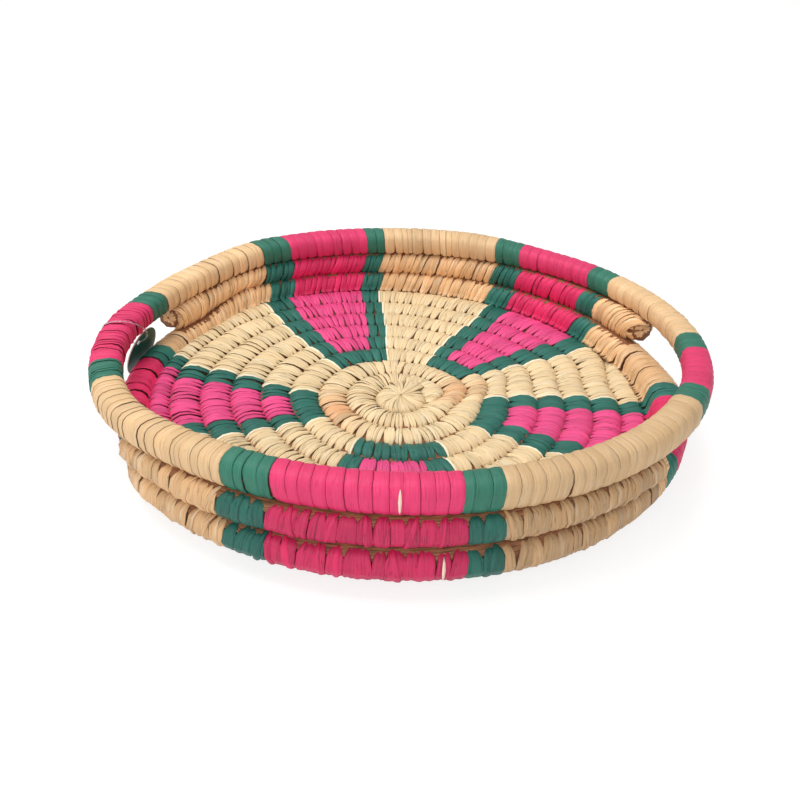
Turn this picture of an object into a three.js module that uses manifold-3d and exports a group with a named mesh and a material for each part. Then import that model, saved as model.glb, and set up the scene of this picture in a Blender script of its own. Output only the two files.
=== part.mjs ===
// Coiled palm-leaf tray with two handle openings. Millimetres, +Z up.
// The origin is on the table under the start knot; the openings face -X and +X.
// One straw bundle winds outwards from the knot and up the wall. Each mesh is the
// length or group of lengths of that bundle that is wrapped in leaf of one colour.
import * as THREE from 'three';
import Module from 'manifold-3d';

const wasm = await Module();
wasm.setup();

const RAD = Math.PI / 180;

// Clearance between two lengths that touch, and the depth that joined rows share
const GAP = 0.3;
const HALF_GAP = GAP / 2;
const BRIDGE_WIDTH = 2.4;
const BRIDGE_LOW = 4.2;
const BRIDGE_HIGH = 7.8;
const BRIDGE_END_INSET = 0.7;
const BRIDGE_TURN = 6;

// Floor of nine rows; the last three quarters of it carry the petals
const CENTRE_PITCH = 16.35;
const FLOOR_PITCH = 16.8;
const CENTRE_ROWS = 3;
const FLOOR_ROWS = 9;
const FLOOR_THICKNESS = 12.5;
const FLOOR_DISH = 2.2;
const FLOOR_RADIUS = CENTRE_ROWS * CENTRE_PITCH + (FLOOR_ROWS - CENTRE_ROWS) * FLOOR_PITCH;

// How far the middle of each wall row stands outside the floor's edge
const ROW10_OUT = 8.15;
const ROW11_OUT = 11.55;
const RIM_OUT = 11.95;

// The floor and the wall rows are oval rings a little off the knot, as the hand left them
const FLOOR_RING = { x: -4.44, y: -2.97, radius: FLOOR_RADIUS, oval: 0.014 };
const ROW10_RING = { x: -4.44, y: -2.97, radius: FLOOR_RADIUS + ROW10_OUT, oval: 0.014 };
const ROW11_RING = { x: -2.6, y: -1.37, radius: FLOOR_RADIUS + ROW11_OUT, oval: 0.0265 };
const RIM_RING = { x: -0.75, y: 0.24, radius: FLOOR_RADIUS + RIM_OUT, oval: 0.039 };
const ROW10_HALF = 9.8;
const ROW11_HALF = 9.4;
const RIM_HALF = 8.9;
const ROW10_Z = 17.2;
const ROW11_Z = 33.5;
const RIM_Z = 49.5;
const JOINT_10_11_Z = 25.6;
const JOINT_11_RIM_Z = 41.7;

// The rim climbs towards the front right; the rows under it share the climb
const TILT_X = 0.028;
const TILT_Y = -0.028;
const ROW11_TILT = 0.5;
const JOINT_10_11_TILT = 0.25;
const JOINT_11_RIM_TILT = 0.75;

// The rim hangs a little over the left hole and is squeezed in behind it and out before it.
// At the right it lies lower and is wrapped more thinly.
const LEFT_SAG = [[126, 0], [150, 0.8], [163, 1], [180, 0.9], [205, 0.6], [232, 0]];
const LEFT_SAG_DEPTH = 5.0;
const RIM_DENT = [[128, 0], [158, -3], [186, 0], [210, 2.5], [240, 0]];
const RIGHT_SAG = [[30, 1], [50, 0.85], [78, 0], [332, 0], [356, 0.8], [372, 1], [390, 1]];
const RIGHT_SAG_DEPTH = 2.6;
const RIGHT_RIM_THINNER = 1.2;

// Over a hand hole the crest of row 10 and the underside of the rim are rounded by this much
const OPEN_ROUNDING = 1.3;

// Row 10 stands on the shoulder of the floor's last row
const SHOULDER_LOW_Z = 10.3;
const SHOULDER_HIGH_Z = 13.6;
const SHOULDER_INSET = 2.7;

// Half turn at the left where the first wall row still lies low on the table
const LEFT_SINK = [[132, 0], [152, 1], [205, 1], [222, 0]];
const LEFT_ROW10_DROP = 8.0;
const LEFT_ROW10_PULL = 8.0;
const LEFT_ROW10_THINNER = 1.4;
const LEFT_JOINT_DROP = 7.0;
const LEFT_ROW11_DROP = 3.5;
const LEFT_ROW11_PULL = 3.5;
const LEFT_FLOOR_PULL_ROWS = 0.45;

// At the right the same row has climbed
const RIGHT_RISE = [[318, 0], [332, 1], [358, 1], [376, 0]];
const RIGHT_ROW10_LIFT = 3.0;
const RIGHT_ROW10_PUSH = 1.0;
const RIGHT_JOINT_LIFT = 2.5;

// Row 11 is left out between these angles, which leaves the two hand holes
const LEFT_OPENING = [158.5, 213];
const RIGHT_OPENING = [325, 381];
const STUB_ROUND = 5.0;
const STUB_SHRINK = 0.74;

// The spiral steps out by one row here, inside the natural field, and over a longer arc
// in the tight rows beside the knot; elsewhere it wanders
const SEAM_FROM = 370;
const SEAM_TO = 390;
const CENTRE_SEAM_FROM = 340;
const ROW9_END = 380;
const TURN = 360;
const TURN_START = SEAM_TO - TURN;
const WANDER = [
  [30, -0.3], [67, -0.3], [100, -0.08], [132, 0.12], [165, 0], [205, -0.14],
  [256, 0.12], [290, 0.1], [329, 0.03], [357, 0.12], [370, 0.15],
];
const WANDER_SHARE = [0, 0.2, 0.3, 0.5, 0.8, 1.2, 1.1, 0.9, 0.85, 0];

// Sections stand on rays this far apart, in degrees; lengths that touch share their facets
const STEP = 10;

// Where each colour starts and ends along rows 4 to 9, in degrees about the knot:
// first green edge, magenta, second green edge, natural. Row 4 is green all through.
const PETALS = {
  back_right: [[35.3, 69.2], [32.3, 41.5, 60.8, 69.2], [32, 41, 59.5, 68.2],
    [31.3, 40.2, 59, 66.7], [30.3, 38.7, 58.8, 65.2], [30.8, 37, 58.8, 65.2]],
  back_left: [[101.3, 140.7], [99.8, 109.2, 128.5, 137.7], [98.3, 106, 127.5, 136.2],
    [98, 104.7, 126.5, 134.7], [97.8, 103.2, 125.5, 132.7], [98.2, 103, 124.3, 131.2]],
  left: [[180, 213], [176.5, 187, 203, 211], [172.5, 181.5, 202.5, 210.2],
    [171.2, 178.7, 201, 209.2], [171.2, 177.7, 200.5, 206.2], [167.2, 173.2, 199.5, 205.5]],
  front: [[246.3, 294.8], [246.3, 254.8, 282, 292.3], [245.5, 253.5, 281.8, 291.6],
    [244.5, 252.3, 282.2, 290.8], [243.5, 251.3, 282.6, 290], [242.7, 250.3, 282.9, 289.3]],
  right: [[325.5, 364.2], [327.3, 337.8, 356.2, 365.2], [326.3, 336.8, 356.8, 365.2],
    [328.7, 336.8, 356.8, 364.7], [328.7, 335.5, 357, 363.7], [329, 335.3, 356.5, 361.8]],
};

// The same four edges on wall rows 10 and 11 and on the rim
const WALL_PETALS = {
  back_right: { row10: [33.4, 39.4, 59.7, 66.4], row11: [35.4, 40.9, 59.5, 66.5], rim: [34.3, 40.7, 60.3, 66.9] },
  back_left: { row10: [96.8, 102.3, 121.4, 128.3], row11: [97.1, 101.7, 121.1, 129.1], rim: [96.8, 101.6, 122.4, 130] },
  left: { row10: [166.2, 172.1, 198.6, 204.9], rim: [162, 168, 194.3, 201.5] },
  front: { row10: [240.9, 248.8, 282.1, 288.4], row11: [240.1, 248.8, 282, 288.1], rim: [239.6, 248.5, 281.2, 288.2] },
  right: { row10: [328.1, 334.3, 355.9, 361.7], rim: [334.5, 340.5, 357.6, 364.3] },
};

const PETAL_ORDER = ['back_right', 'back_left', 'left', 'front', 'right'];
const NATURAL_AFTER = {
  back_right: 'rear',
  back_left: 'left_rear',
  left: 'left_front',
  front: 'right_front',
  right: 'right_rear',
};

// Hang tag: a bare card disc on a clear nylon loop round the left grip
const TAG_RADIUS = 16;
const TAG_THICKNESS = 0.8;
const TAG_HOLE_RADIUS = 1.4;
const TAG_HOLE_FROM_CENTRE = 12.8;
const TAG_HOLE_TURN = 35 * RAD;
const TAG_HEADING = -18 * RAD;
const TAG_LEAN = 15 * RAD;
const TAG_CENTRE = new THREE.Vector3(-162.2, 31.0, 16.1);
const LOOP_WIRE_RADIUS = 0.4;
const LOOP_CLEARANCE = 2.0;
const LOOP_GRIP_ANGLE = 176;
const LOOP_STEPS = 28;
const LOOP_SIDES = 8;

const COLOURS = {
  centre: 0xf0dcb2,
  floorNatural: 0xecd5a8,
  wallNatural: 0xdfbc8d,
  rimNatural: 0xe8cc9e,
  green: 0x2c6f61,
  rimGreen: 0x317a69,
  floorMagenta: 0xe34a93,
  wallMagenta: 0xcf3474,
  rimMagenta: 0xe04488,
  card: 0x16473a,
  nylon: 0xe6ebee,
};

function smooth(t) {
  const c = Math.min(1, Math.max(0, t));
  return c * c * (3 - 2 * c);
}

// Smooth value through [angle, value] pairs, level outside them
function curveAt(pairs, angle) {
  if (angle <= pairs[0][0]) return pairs[0][1];
  for (let i = 1; i < pairs.length; i += 1) {
    const [a, u] = pairs[i - 1];
    const [b, v] = pairs[i];
    if (angle <= b) return u + (v - u) * smooth((angle - a) / (b - a));
  }
  return pairs[pairs.length - 1][1];
}

// Angle brought into one turn that starts just after the spiral's step
function wrapped(angle) {
  let a = angle;
  while (a > SEAM_TO) a -= TURN;
  while (a < TURN_START) a += TURN;
  return a;
}

const leftSink = (angle) => curveAt(LEFT_SINK, wrapped(angle));
const rightRise = (angle) => curveAt(RIGHT_RISE, wrapped(angle));
const leftSag = (angle) => LEFT_SAG_DEPTH * curveAt(LEFT_SAG, wrapped(angle));
const rightSag = (angle) => curveAt(RIGHT_SAG, wrapped(angle));

// Distance from the knot to an oval ring in one direction
function ringReach(angle, ring) {
  const c = Math.cos(angle * RAD);
  const s = Math.sin(angle * RAD);
  let theta = angle * RAD;
  let reach = ring.radius;
  for (let i = 0; i < 6; i += 1) {
    const r = ring.radius * (1 + ring.oval * Math.cos(2 * theta));
    const b = ring.x * c + ring.y * s;
    reach = b + Math.sqrt(b * b - ring.x * ring.x - ring.y * ring.y + r * r);
    theta = Math.atan2(reach * s - ring.y, reach * c - ring.x);
  }
  return reach;
}

// Radius of the line between two floor rows, counted in rows from the knot
function radiusAt(level, angle) {
  const centre = Math.min(level, CENTRE_ROWS) * CENTRE_PITCH;
  const outer = Math.max(level - CENTRE_ROWS, 0) * FLOOR_PITCH;
  return (centre + outer) * ringReach(angle, FLOOR_RING) / FLOOR_RING.radius;
}

// The line outside a row: it wanders with the hand, and steps out one row at the seam
function levelAt(line, angle) {
  if (line === FLOOR_ROWS) return line - LEFT_FLOOR_PULL_ROWS * leftSink(angle);
  if (line === 0) return 0;
  const from = line < CENTRE_ROWS ? CENTRE_SEAM_FROM : SEAM_FROM;
  const here = line + WANDER_SHARE[line] * curveAt(WANDER, Math.min(angle, from));
  if (angle <= from) return here;
  const after = line + 1 + WANDER_SHARE[line + 1] * WANDER[0][1];
  return here + (after - here) * smooth((angle - from) / (SEAM_TO - from));
}

const lineRadius = (line, angle) => radiusAt(levelAt(line, angle), angle);

const tiltAt = (x, y) => TILT_X * x + TILT_Y * y;

// Angles of the sections of a length: its ends, drawn in by half the gap, and the rays between
function stations(from, to, radius, extra = []) {
  const inset = HALF_GAP / radius / RAD;
  const a = from + inset;
  const b = to - inset;
  const list = [a, b, ...extra];
  for (let ray = Math.ceil(a / STEP) * STEP; ray < b; ray += STEP) {
    if (list.every((angle) => Math.abs(angle - ray) > 0.3)) list.push(ray);
  }
  return list.sort((p, q) => p - q);
}

// A section at any angle lies on the straight facets between the two nearest rays
function onFacets(section, angle) {
  const low = Math.floor(angle / STEP + 1e-9) * STEP;
  const share = (angle - low) / STEP;
  if (share < 1e-6) return section(low);
  const next = section(low + STEP);
  return section(low).map((point, i) => point.lerp(next[i], share));
}

const spot = (angle, r, z) => new THREE.Vector3(r * Math.cos(angle * RAD), r * Math.sin(angle * RAD), z);

// Closed solid through sections with equal point counts, listed along growing angle
function sweep(sections) {
  const n = sections[0].length;
  const last = sections.length - 1;
  const points = sections.flat();
  const middle = (section) => section.reduce((sum, p) => sum.add(p), new THREE.Vector3()).divideScalar(n);
  const startMiddle = points.length;
  points.push(middle(sections[0]), middle(sections[last]));
  const index = [];
  for (let j = 0; j < n; j += 1) {
    const k = (j + 1) % n;
    for (let i = 0; i < last; i += 1) {
      const a = i * n + j;
      const b = i * n + k;
      const c = a + n;
      const d = b + n;
      index.push(a, c, d, a, d, b);
    }
    index.push(startMiddle, j, k);
    index.push(startMiddle + 1, last * n + k, last * n + j);
  }
  const geometry = new THREE.BufferGeometry().setFromPoints(points);
  geometry.setIndex(index);
  return geometry;
}

function toSolid(geometry) {
  return new wasm.Manifold(new wasm.Mesh({
    numProp: 3,
    vertProperties: new Float32Array(geometry.attributes.position.array),
    triVerts: new Uint32Array(geometry.index.array),
  }));
}

function toGeometry(solid) {
  const mesh = solid.getMesh();
  const geometry = new THREE.BufferGeometry();
  geometry.setAttribute('position', new THREE.BufferAttribute(new Float32Array(mesh.vertProperties), 3));
  geometry.setIndex([...mesh.triVerts]);
  return geometry;
}

function joined(geometries) {
  const solids = geometries.map(toSolid);
  return toGeometry(solids.reduce((sum, solid) => sum.add(solid)));
}

// Barrel section of a floor row between two radii: flat where it rests, ridged on top
function floorSection(angle, inner, outer) {
  const w = outer - inner;
  const mid = (inner + outer) / 2;
  const top = FLOOR_THICKNESS + FLOOR_DISH * (mid / FLOOR_RADIUS) ** 2;
  const profile = [
    [inner + 0.22 * w, 0], [outer - 0.22 * w, 0], [outer, 0.28 * top], [outer, 0.7 * top],
    [outer - 0.2 * w, 0.87 * top], [mid, top], [inner, 0.7 * top], [inner, 0.28 * top],
  ];
  return profile.map(([r, z]) => spot(angle, r, z));
}

// The floor's last row has a slanted shoulder that row 10 is stitched down on
function lastRowSection(angle, inner, outer) {
  const section = floorSection(angle, inner, outer);
  section[3] = spot(angle, outer, SHOULDER_LOW_Z - GAP);
  section[4] = spot(angle, outer - SHOULDER_INSET, SHOULDER_HIGH_Z - GAP);
  return section;
}

// Sections of one floor row from one angle to another inside one turn
function floorSections(row, from, to) {
  const shape = row === FLOOR_ROWS ? lastRowSection : floorSection;
  const section = (angle) => shape(
    angle,
    lineRadius(row - 1, angle) + HALF_GAP,
    lineRadius(row, angle) - HALF_GAP,
  );
  return stations(from, to, lineRadius(row, from)).map((angle) => onFacets(section, angle));
}

// A floor length that may run over the seam, where row n carries on as row n + 1
function floorLength(row, from, to) {
  if (to <= SEAM_TO) return sweep(floorSections(row, from, to));
  const before = floorSections(row, from, SEAM_TO);
  const after = floorSections(row + 1, TURN_START, to - TURN);
  before.pop();
  return sweep([...before, ...after]);
}

// Where two neighbouring lengths of one colour are stitched together: between two rays,
// near the middle of what they share
function bridgeSpan(from, to, radius) {
  const inset = BRIDGE_END_INSET / radius / RAD;
  const low = Math.floor((from + to) / 2 / STEP) * STEP;
  const parts = [low - STEP, low, low + STEP].map((ray) => (
    [Math.max(from + inset, ray + 0.2), Math.min(to - inset, ray + STEP - 0.2)]
  ));
  const [a, b] = parts.sort((p, q) => (q[1] - q[0]) - (p[1] - p[0]))[0];
  const half = Math.min(BRIDGE_TURN, b - a) / 2;
  return [(a + b) / 2 - half, (a + b) / 2 + half];
}

// Block that joins two neighbouring rows of one colour under the groove between them
function floorBridge(line, from, to) {
  const section = (angle) => {
    const inner = lineRadius(line, angle) - BRIDGE_WIDTH / 2;
    const outer = lineRadius(line, angle) + BRIDGE_WIDTH / 2;
    return [
      spot(angle, inner, BRIDGE_LOW), spot(angle, outer, BRIDGE_LOW),
      spot(angle, outer, BRIDGE_HIGH), spot(angle, inner, BRIDGE_HIGH),
    ];
  };
  return sweep(bridgeSpan(from, to, lineRadius(line, from)).map((angle) => onFacets(section, angle)));
}

// Rows of one colour: spans[i] lists the [from, to] lengths of row firstRow + i
function floorField(firstRow, spans) {
  const bodies = [];
  spans.forEach((lengths, i) => {
    lengths.forEach(([from, to]) => bodies.push(floorLength(firstRow + i, from, to)));
    (spans[i + 1] || []).forEach(([nextFrom, nextTo]) => lengths.forEach(([from, to]) => {
      const a = Math.max(from, nextFrom);
      const b = Math.min(to, nextTo, SEAM_TO - 1);
      if (b - a > 1) bodies.push(floorBridge(firstRow + i, a, b));
    }));
  });
  return joined(bodies);
}

const FIRST_PETAL_ROW = CENTRE_ROWS + 1;

// Green frame of a petal: the base row and the edge bands of the rows outside it
function greenField(petal) {
  return floorField(FIRST_PETAL_ROW, PETALS[petal].map((edges) => (
    edges.length === 2 ? [edges] : [[edges[0], edges[1]], [edges[2], edges[3]]]
  )));
}

function magentaField(petal) {
  return floorField(FIRST_PETAL_ROW + 1, PETALS[petal].slice(1).map((edges) => [[edges[1], edges[2]]]));
}

// Natural field after a petal; after the right petal it holds the spiral's step
function naturalField(petal, next) {
  const spans = [];
  const last = PETALS[petal].length - 1;
  for (let i = 0; i <= last; i += 1) {
    const from = PETALS[petal][i].at(-1);
    if (next !== PETAL_ORDER[0]) spans.push([[from, PETALS[next][i][0]]]);
    else if (i < last) spans.push([[from, PETALS[next][i + 1][0] + TURN]]);
    else spans.push([[from, ROW9_END]]);
  }
  return floorField(FIRST_PETAL_ROW, spans);
}

// Rows 2 and 3 in one winding: a thin start beside the knot, two turns, and the tail
// that becomes the green base row of the first petal
function centreCoil() {
  const sections = [];
  const start = (angle) => floorSection(
    angle,
    radiusAt(1 + WANDER_SHARE[1] * WANDER[0][1], angle) + HALF_GAP,
    lineRadius(1, angle) - HALF_GAP,
  );
  for (let angle = CENTRE_SEAM_FROM + STEP; angle < SEAM_TO; angle += STEP) sections.push(onFacets(start, angle));
  for (const row of [2, 3]) {
    sections.push(...floorSections(row, TURN_START, SEAM_TO));
    sections.pop();
  }
  sections.push(...floorSections(FIRST_PETAL_ROW, TURN_START, PETALS[PETAL_ORDER[0]][0][0]));
  return sweep(sections);
}

// Domed knot in the middle, flat underneath
function startKnot() {
  const sides = 32;
  const profile = [[0.82, 0], [1, 0.29], [1, 0.7], [0.82, 0.92], [0.45, 0.98]];
  const points = [new THREE.Vector3(0, 0, 0), new THREE.Vector3(0, 0, FLOOR_THICKNESS)];
  for (const [share, height] of profile) {
    for (let j = 0; j < sides; j += 1) {
      const angle = j * TURN / sides;
      const edge = radiusAt(1 + WANDER_SHARE[1] * Math.min(...WANDER.map((w) => w[1])), angle) - HALF_GAP;
      points.push(spot(angle, share * edge, height * FLOOR_THICKNESS));
    }
  }
  const index = [];
  const at = (ring, j) => 2 + ring * sides + (j % sides);
  for (let j = 0; j < sides; j += 1) {
    index.push(0, at(0, j + 1), at(0, j));
    index.push(1, at(profile.length - 1, j), at(profile.length - 1, j + 1));
    for (let ring = 0; ring < profile.length - 1; ring += 1) {
      index.push(at(ring, j), at(ring, j + 1), at(ring + 1, j + 1));
      index.push(at(ring, j), at(ring + 1, j + 1), at(ring + 1, j));
    }
  }
  const geometry = new THREE.BufferGeometry().setFromPoints(points);
  geometry.setIndex(index);
  return geometry;
}

function inOpening(angle) {
  const a = wrapped(angle);
  const b = a < SEAM_FROM - TURN + 10 ? a + TURN : a;
  return (a > LEFT_OPENING[0] && a < LEFT_OPENING[1]) || (b > RIGHT_OPENING[0] && b < RIGHT_OPENING[1]);
}

// Heights of the two joints between the wall rows over one point of the plan
function jointLow(angle, r) {
  const p = spot(angle, r, 0);
  const local = RIGHT_JOINT_LIFT * rightRise(angle) - LEFT_JOINT_DROP * leftSink(angle);
  return JOINT_10_11_Z + JOINT_10_11_TILT * tiltAt(p.x, p.y) + local;
}

function jointHigh(angle, r) {
  const p = spot(angle, r, 0);
  return JOINT_11_RIM_Z + JOINT_11_RIM_TILT * tiltAt(p.x, p.y) - leftSag(angle);
}

const row10Radius = (angle) => ringReach(angle, ROW10_RING)
  - LEFT_ROW10_PULL * leftSink(angle) + RIGHT_ROW10_PUSH * rightRise(angle);
const row11Radius = (angle) => ringReach(angle, ROW11_RING) - LEFT_ROW11_PULL * leftSink(angle);
const rimRadius = (angle) => ringReach(angle, RIM_RING) + curveAt(RIM_DENT, wrapped(angle));
const rimHalf = (angle) => RIM_HALF - RIGHT_RIM_THINNER * rightSag(angle);

// Middle of the rim over one point of the plan
function rimMiddle(angle) {
  const p = spot(angle, rimRadius(angle), 0);
  p.z = RIM_Z + tiltAt(p.x, p.y) - leftSag(angle) - RIGHT_SAG_DEPTH * rightSag(angle);
  return p;
}

function row10Section(angle) {
  const half = ROW10_HALF - LEFT_ROW10_THINNER * leftSink(angle);
  const mid = ROW10_Z - LEFT_ROW10_DROP * leftSink(angle) + RIGHT_ROW10_LIFT * rightRise(angle);
  const low = mid - 0.92 * half;
  const r = row10Radius(angle);
  const floor = lineRadius(FLOOR_ROWS, wrapped(angle)) + HALF_GAP;
  const top = (x) => jointLow(angle, x) - HALF_GAP;
  const round = inOpening(angle) ? OPEN_ROUNDING : 0;
  const inner = Math.max(mid, SHOULDER_HIGH_Z + SHOULDER_INSET / 3);
  const foot = 0.36 * half;
  const crest = 0.45 * half;
  const profile = [
    [floor + HALF_GAP, SHOULDER_LOW_Z], [Math.max(r - foot, floor + foot / 2), low], [r + foot, low],
    [r + 0.9 * half, mid - 0.45 * half], [r + half, mid + 0.1 * half],
    [r + 0.8 * half, (mid + top(r)) / 2 + 0.1 * half], [r + crest, top(r + crest) - round], [r, top(r)],
    [r - crest, top(r - crest) - round], [floor - 0.9 * SHOULDER_INSET, (inner + top(r)) / 2],
    [floor - SHOULDER_INSET, SHOULDER_HIGH_Z],
  ];
  return profile.map(([x, z]) => spot(angle, x, z));
}

function row11Section(angle) {
  const half = ROW11_HALF;
  const r = row11Radius(angle);
  const p = spot(angle, r, 0);
  const mid = ROW11_Z + ROW11_TILT * tiltAt(p.x, p.y) - LEFT_ROW11_DROP * leftSink(angle) - leftSag(angle) / 2;
  const low = (x) => jointLow(angle, x) + HALF_GAP;
  const high = (x) => jointHigh(angle, x) - HALF_GAP;
  const flat = 0.49 * half;
  const profile = [
    [r - flat, low(r - flat)], [r + flat, low(r + flat)], [r + 0.96 * half, mid - 0.35 * half],
    [r + 0.96 * half, mid + 0.35 * half], [r + flat, high(r + flat)], [r - flat, high(r - flat)],
    [r - 0.96 * half, mid + 0.35 * half], [r - 0.96 * half, mid - 0.35 * half],
  ];
  return profile.map(([x, z]) => spot(angle, x, z));
}

function rimSection(angle) {
  const half = rimHalf(angle);
  const r = rimRadius(angle);
  const mid = rimMiddle(angle).z;
  const low = (x) => jointHigh(angle, x) + HALF_GAP;
  const round = inOpening(angle) ? OPEN_ROUNDING : 0;
  const flat = 0.49 * half;
  const profile = [
    [r - flat, low(r - flat) + round], [r, low(r)], [r + flat, low(r + flat) + round],
    [r + 0.97 * half, mid - 0.4 * half], [r + 0.97 * half, mid + 0.35 * half], [r + 0.4 * half, mid + 0.95 * half],
    [r - 0.4 * half, mid + 0.95 * half], [r - 0.97 * half, mid + 0.35 * half], [r - 0.97 * half, mid - 0.4 * half],
  ];
  return profile.map(([x, z]) => spot(angle, x, z));
}

const EDGES = [...LEFT_OPENING, ...RIGHT_OPENING];

function wallLength(section, from, to) {
  return sweep(stations(from, to, RIM_RING.radius).map((angle) => onFacets(section, angle)));
}

// A length of row 11 whose ends at an opening are blunt, rounded stubs
function stubLength(from, to) {
  const stubAtStart = EDGES.includes(from);
  const stubAtEnd = EDGES.includes(to);
  const round = STUB_ROUND / RIM_RING.radius / RAD;
  const bends = [...(stubAtStart ? [from + round] : []), ...(stubAtEnd ? [to - round] : [])];
  const angles = stations(from, to, RIM_RING.radius, bends);
  const sections = angles.map((angle) => onFacets(row11Section, angle));
  const shrink = (section) => {
    const middle = section.reduce((sum, p) => sum.add(p), new THREE.Vector3()).divideScalar(section.length);
    return section.map((p) => p.clone().sub(middle).multiplyScalar(STUB_SHRINK).add(middle));
  };
  if (stubAtStart) sections[0] = shrink(sections[0]);
  if (stubAtEnd) sections[sections.length - 1] = shrink(sections.at(-1));
  return sweep(sections);
}

// Block that joins a length of row 10 to the length of row 11 on top of it
function wallBridge(from, to) {
  const section = (angle) => {
    const r = (row10Radius(angle) + row11Radius(angle)) / 2;
    const half = BRIDGE_WIDTH / 2;
    return [
      spot(angle, r - half, jointLow(angle, r) - half), spot(angle, r + half, jointLow(angle, r) - half),
      spot(angle, r + half, jointLow(angle, r) + half), spot(angle, r - half, jointLow(angle, r) + half),
    ];
  };
  return sweep(bridgeSpan(from, to, ROW11_RING.radius).map((angle) => onFacets(section, angle)));
}

// One colour of the wall: a row 10 length and, where there is one, the row 11 length
function wallField(low, high) {
  const bodies = [wallLength(row10Section, low[0], low[1])];
  if (high) {
    bodies.push(stubLength(high[0], high[1]));
    bodies.push(wallBridge(Math.max(low[0], high[0]) + 0.3, Math.min(low[1], high[1]) - 0.3));
  }
  return joined(bodies);
}

const group = new THREE.Group();

function addMesh(name, geometry, colour, roughness, metalness = 0) {
  const material = new THREE.MeshStandardMaterial({ color: colour, roughness, metalness });
  const mesh = new THREE.Mesh(geometry, material);
  mesh.name = name;
  group.add(mesh);
}

addMesh('start_knot', startKnot(), COLOURS.centre, 0.6);
addMesh('centre_coil', centreCoil(), COLOURS.centre, 0.6);

PETAL_ORDER.forEach((petal, i) => {
  const next = PETAL_ORDER[(i + 1) % PETAL_ORDER.length];
  const turn = i + 1 < PETAL_ORDER.length ? 0 : TURN;
  const natural = NATURAL_AFTER[petal];
  const wall = WALL_PETALS[petal];
  const nextWall = WALL_PETALS[next];
  addMesh(`floor_green_${petal}`, greenField(petal), COLOURS.green, 0.5);
  addMesh(`floor_magenta_${petal}`, magentaField(petal), COLOURS.floorMagenta, 0.5);
  addMesh(`floor_natural_${natural}`, naturalField(petal, next), COLOURS.floorNatural, 0.6);
  const span = (row, k) => (wall[row] ? [wall[row][k], wall[row][k + 1]] : null);
  addMesh(`wall_green_${petal}_cw`, wallField(span('row10', 0), span('row11', 0)), COLOURS.green, 0.45);
  addMesh(`wall_magenta_${petal}`, wallField(span('row10', 1), span('row11', 1)), COLOURS.wallMagenta, 0.45);
  addMesh(`wall_green_${petal}_ccw`, wallField(span('row10', 2), span('row11', 2)), COLOURS.green, 0.45);
  const stubs = {
    left_rear: [wall.row11?.[3], LEFT_OPENING[0]],
    left_front: [LEFT_OPENING[1], nextWall.row11?.[0]],
    right_front: [wall.row11?.[3], RIGHT_OPENING[0]],
    right_rear: [RIGHT_OPENING[1], nextWall.row11?.[0] + turn],
    rear: [wall.row11?.[3], nextWall.row11?.[0]],
  };
  const low = [wall.row10[3], nextWall.row10[0] + turn];
  addMesh(`wall_natural_${natural}`, wallField(low, stubs[natural]), COLOURS.wallNatural, 0.5);
  const rim = (a, b) => wallLength(rimSection, a, b);
  addMesh(`rim_green_${petal}_cw`, rim(wall.rim[0], wall.rim[1]), COLOURS.rimGreen, 0.35);
  addMesh(`rim_magenta_${petal}`, rim(wall.rim[1], wall.rim[2]), COLOURS.rimMagenta, 0.35);
  addMesh(`rim_green_${petal}_ccw`, rim(wall.rim[2], wall.rim[3]), COLOURS.rimGreen, 0.35);
  addMesh(`rim_natural_${natural}`, rim(wall.rim[3], nextWall.rim[0] + turn), COLOURS.rimNatural, 0.4);
});

// The tag's face looks inwards and a little down; its hole is near the top front
const tagNormal = new THREE.Vector3(
  Math.cos(TAG_LEAN) * Math.cos(TAG_HEADING),
  Math.cos(TAG_LEAN) * Math.sin(TAG_HEADING),
  -Math.sin(TAG_LEAN),
);
const tagUp = new THREE.Vector3(0, 0, 1).addScaledVector(tagNormal, Math.sin(TAG_LEAN)).normalize();
const tagSide = new THREE.Vector3().crossVectors(tagUp, tagNormal).negate();
const holeCentre = TAG_CENTRE.clone()
  .addScaledVector(tagUp, TAG_HOLE_FROM_CENTRE * Math.cos(TAG_HOLE_TURN))
  .addScaledVector(tagSide, TAG_HOLE_FROM_CENTRE * Math.sin(TAG_HOLE_TURN));

function disc(radius, thickness, sides, centre) {
  const outline = new THREE.Shape();
  for (let i = 0; i < sides; i += 1) {
    const a = i * 2 * Math.PI / sides;
    if (i === 0) outline.moveTo(radius, 0);
    else outline.lineTo(radius * Math.cos(a), radius * Math.sin(a));
  }
  outline.closePath();
  const hole = new THREE.Path();
  const local = holeCentre.clone().sub(TAG_CENTRE);
  const hx = local.dot(tagSide);
  const hy = local.dot(tagUp);
  hole.absarc(hx, hy, TAG_HOLE_RADIUS, 0, 2 * Math.PI, true);
  outline.holes.push(hole);
  const geometry = new THREE.ExtrudeGeometry(outline, { depth: thickness, bevelEnabled: false, curveSegments: 12 });
  const frame = new THREE.Matrix4().makeBasis(tagSide, tagUp, new THREE.Vector3().crossVectors(tagSide, tagUp));
  geometry.translate(0, 0, -thickness / 2);
  geometry.applyMatrix4(frame);
  geometry.translate(centre.x, centre.y, centre.z);
  return geometry;
}

addMesh('hang_tag', disc(TAG_RADIUS, TAG_THICKNESS, 32, TAG_CENTRE), COLOURS.card, 0.45);

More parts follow.
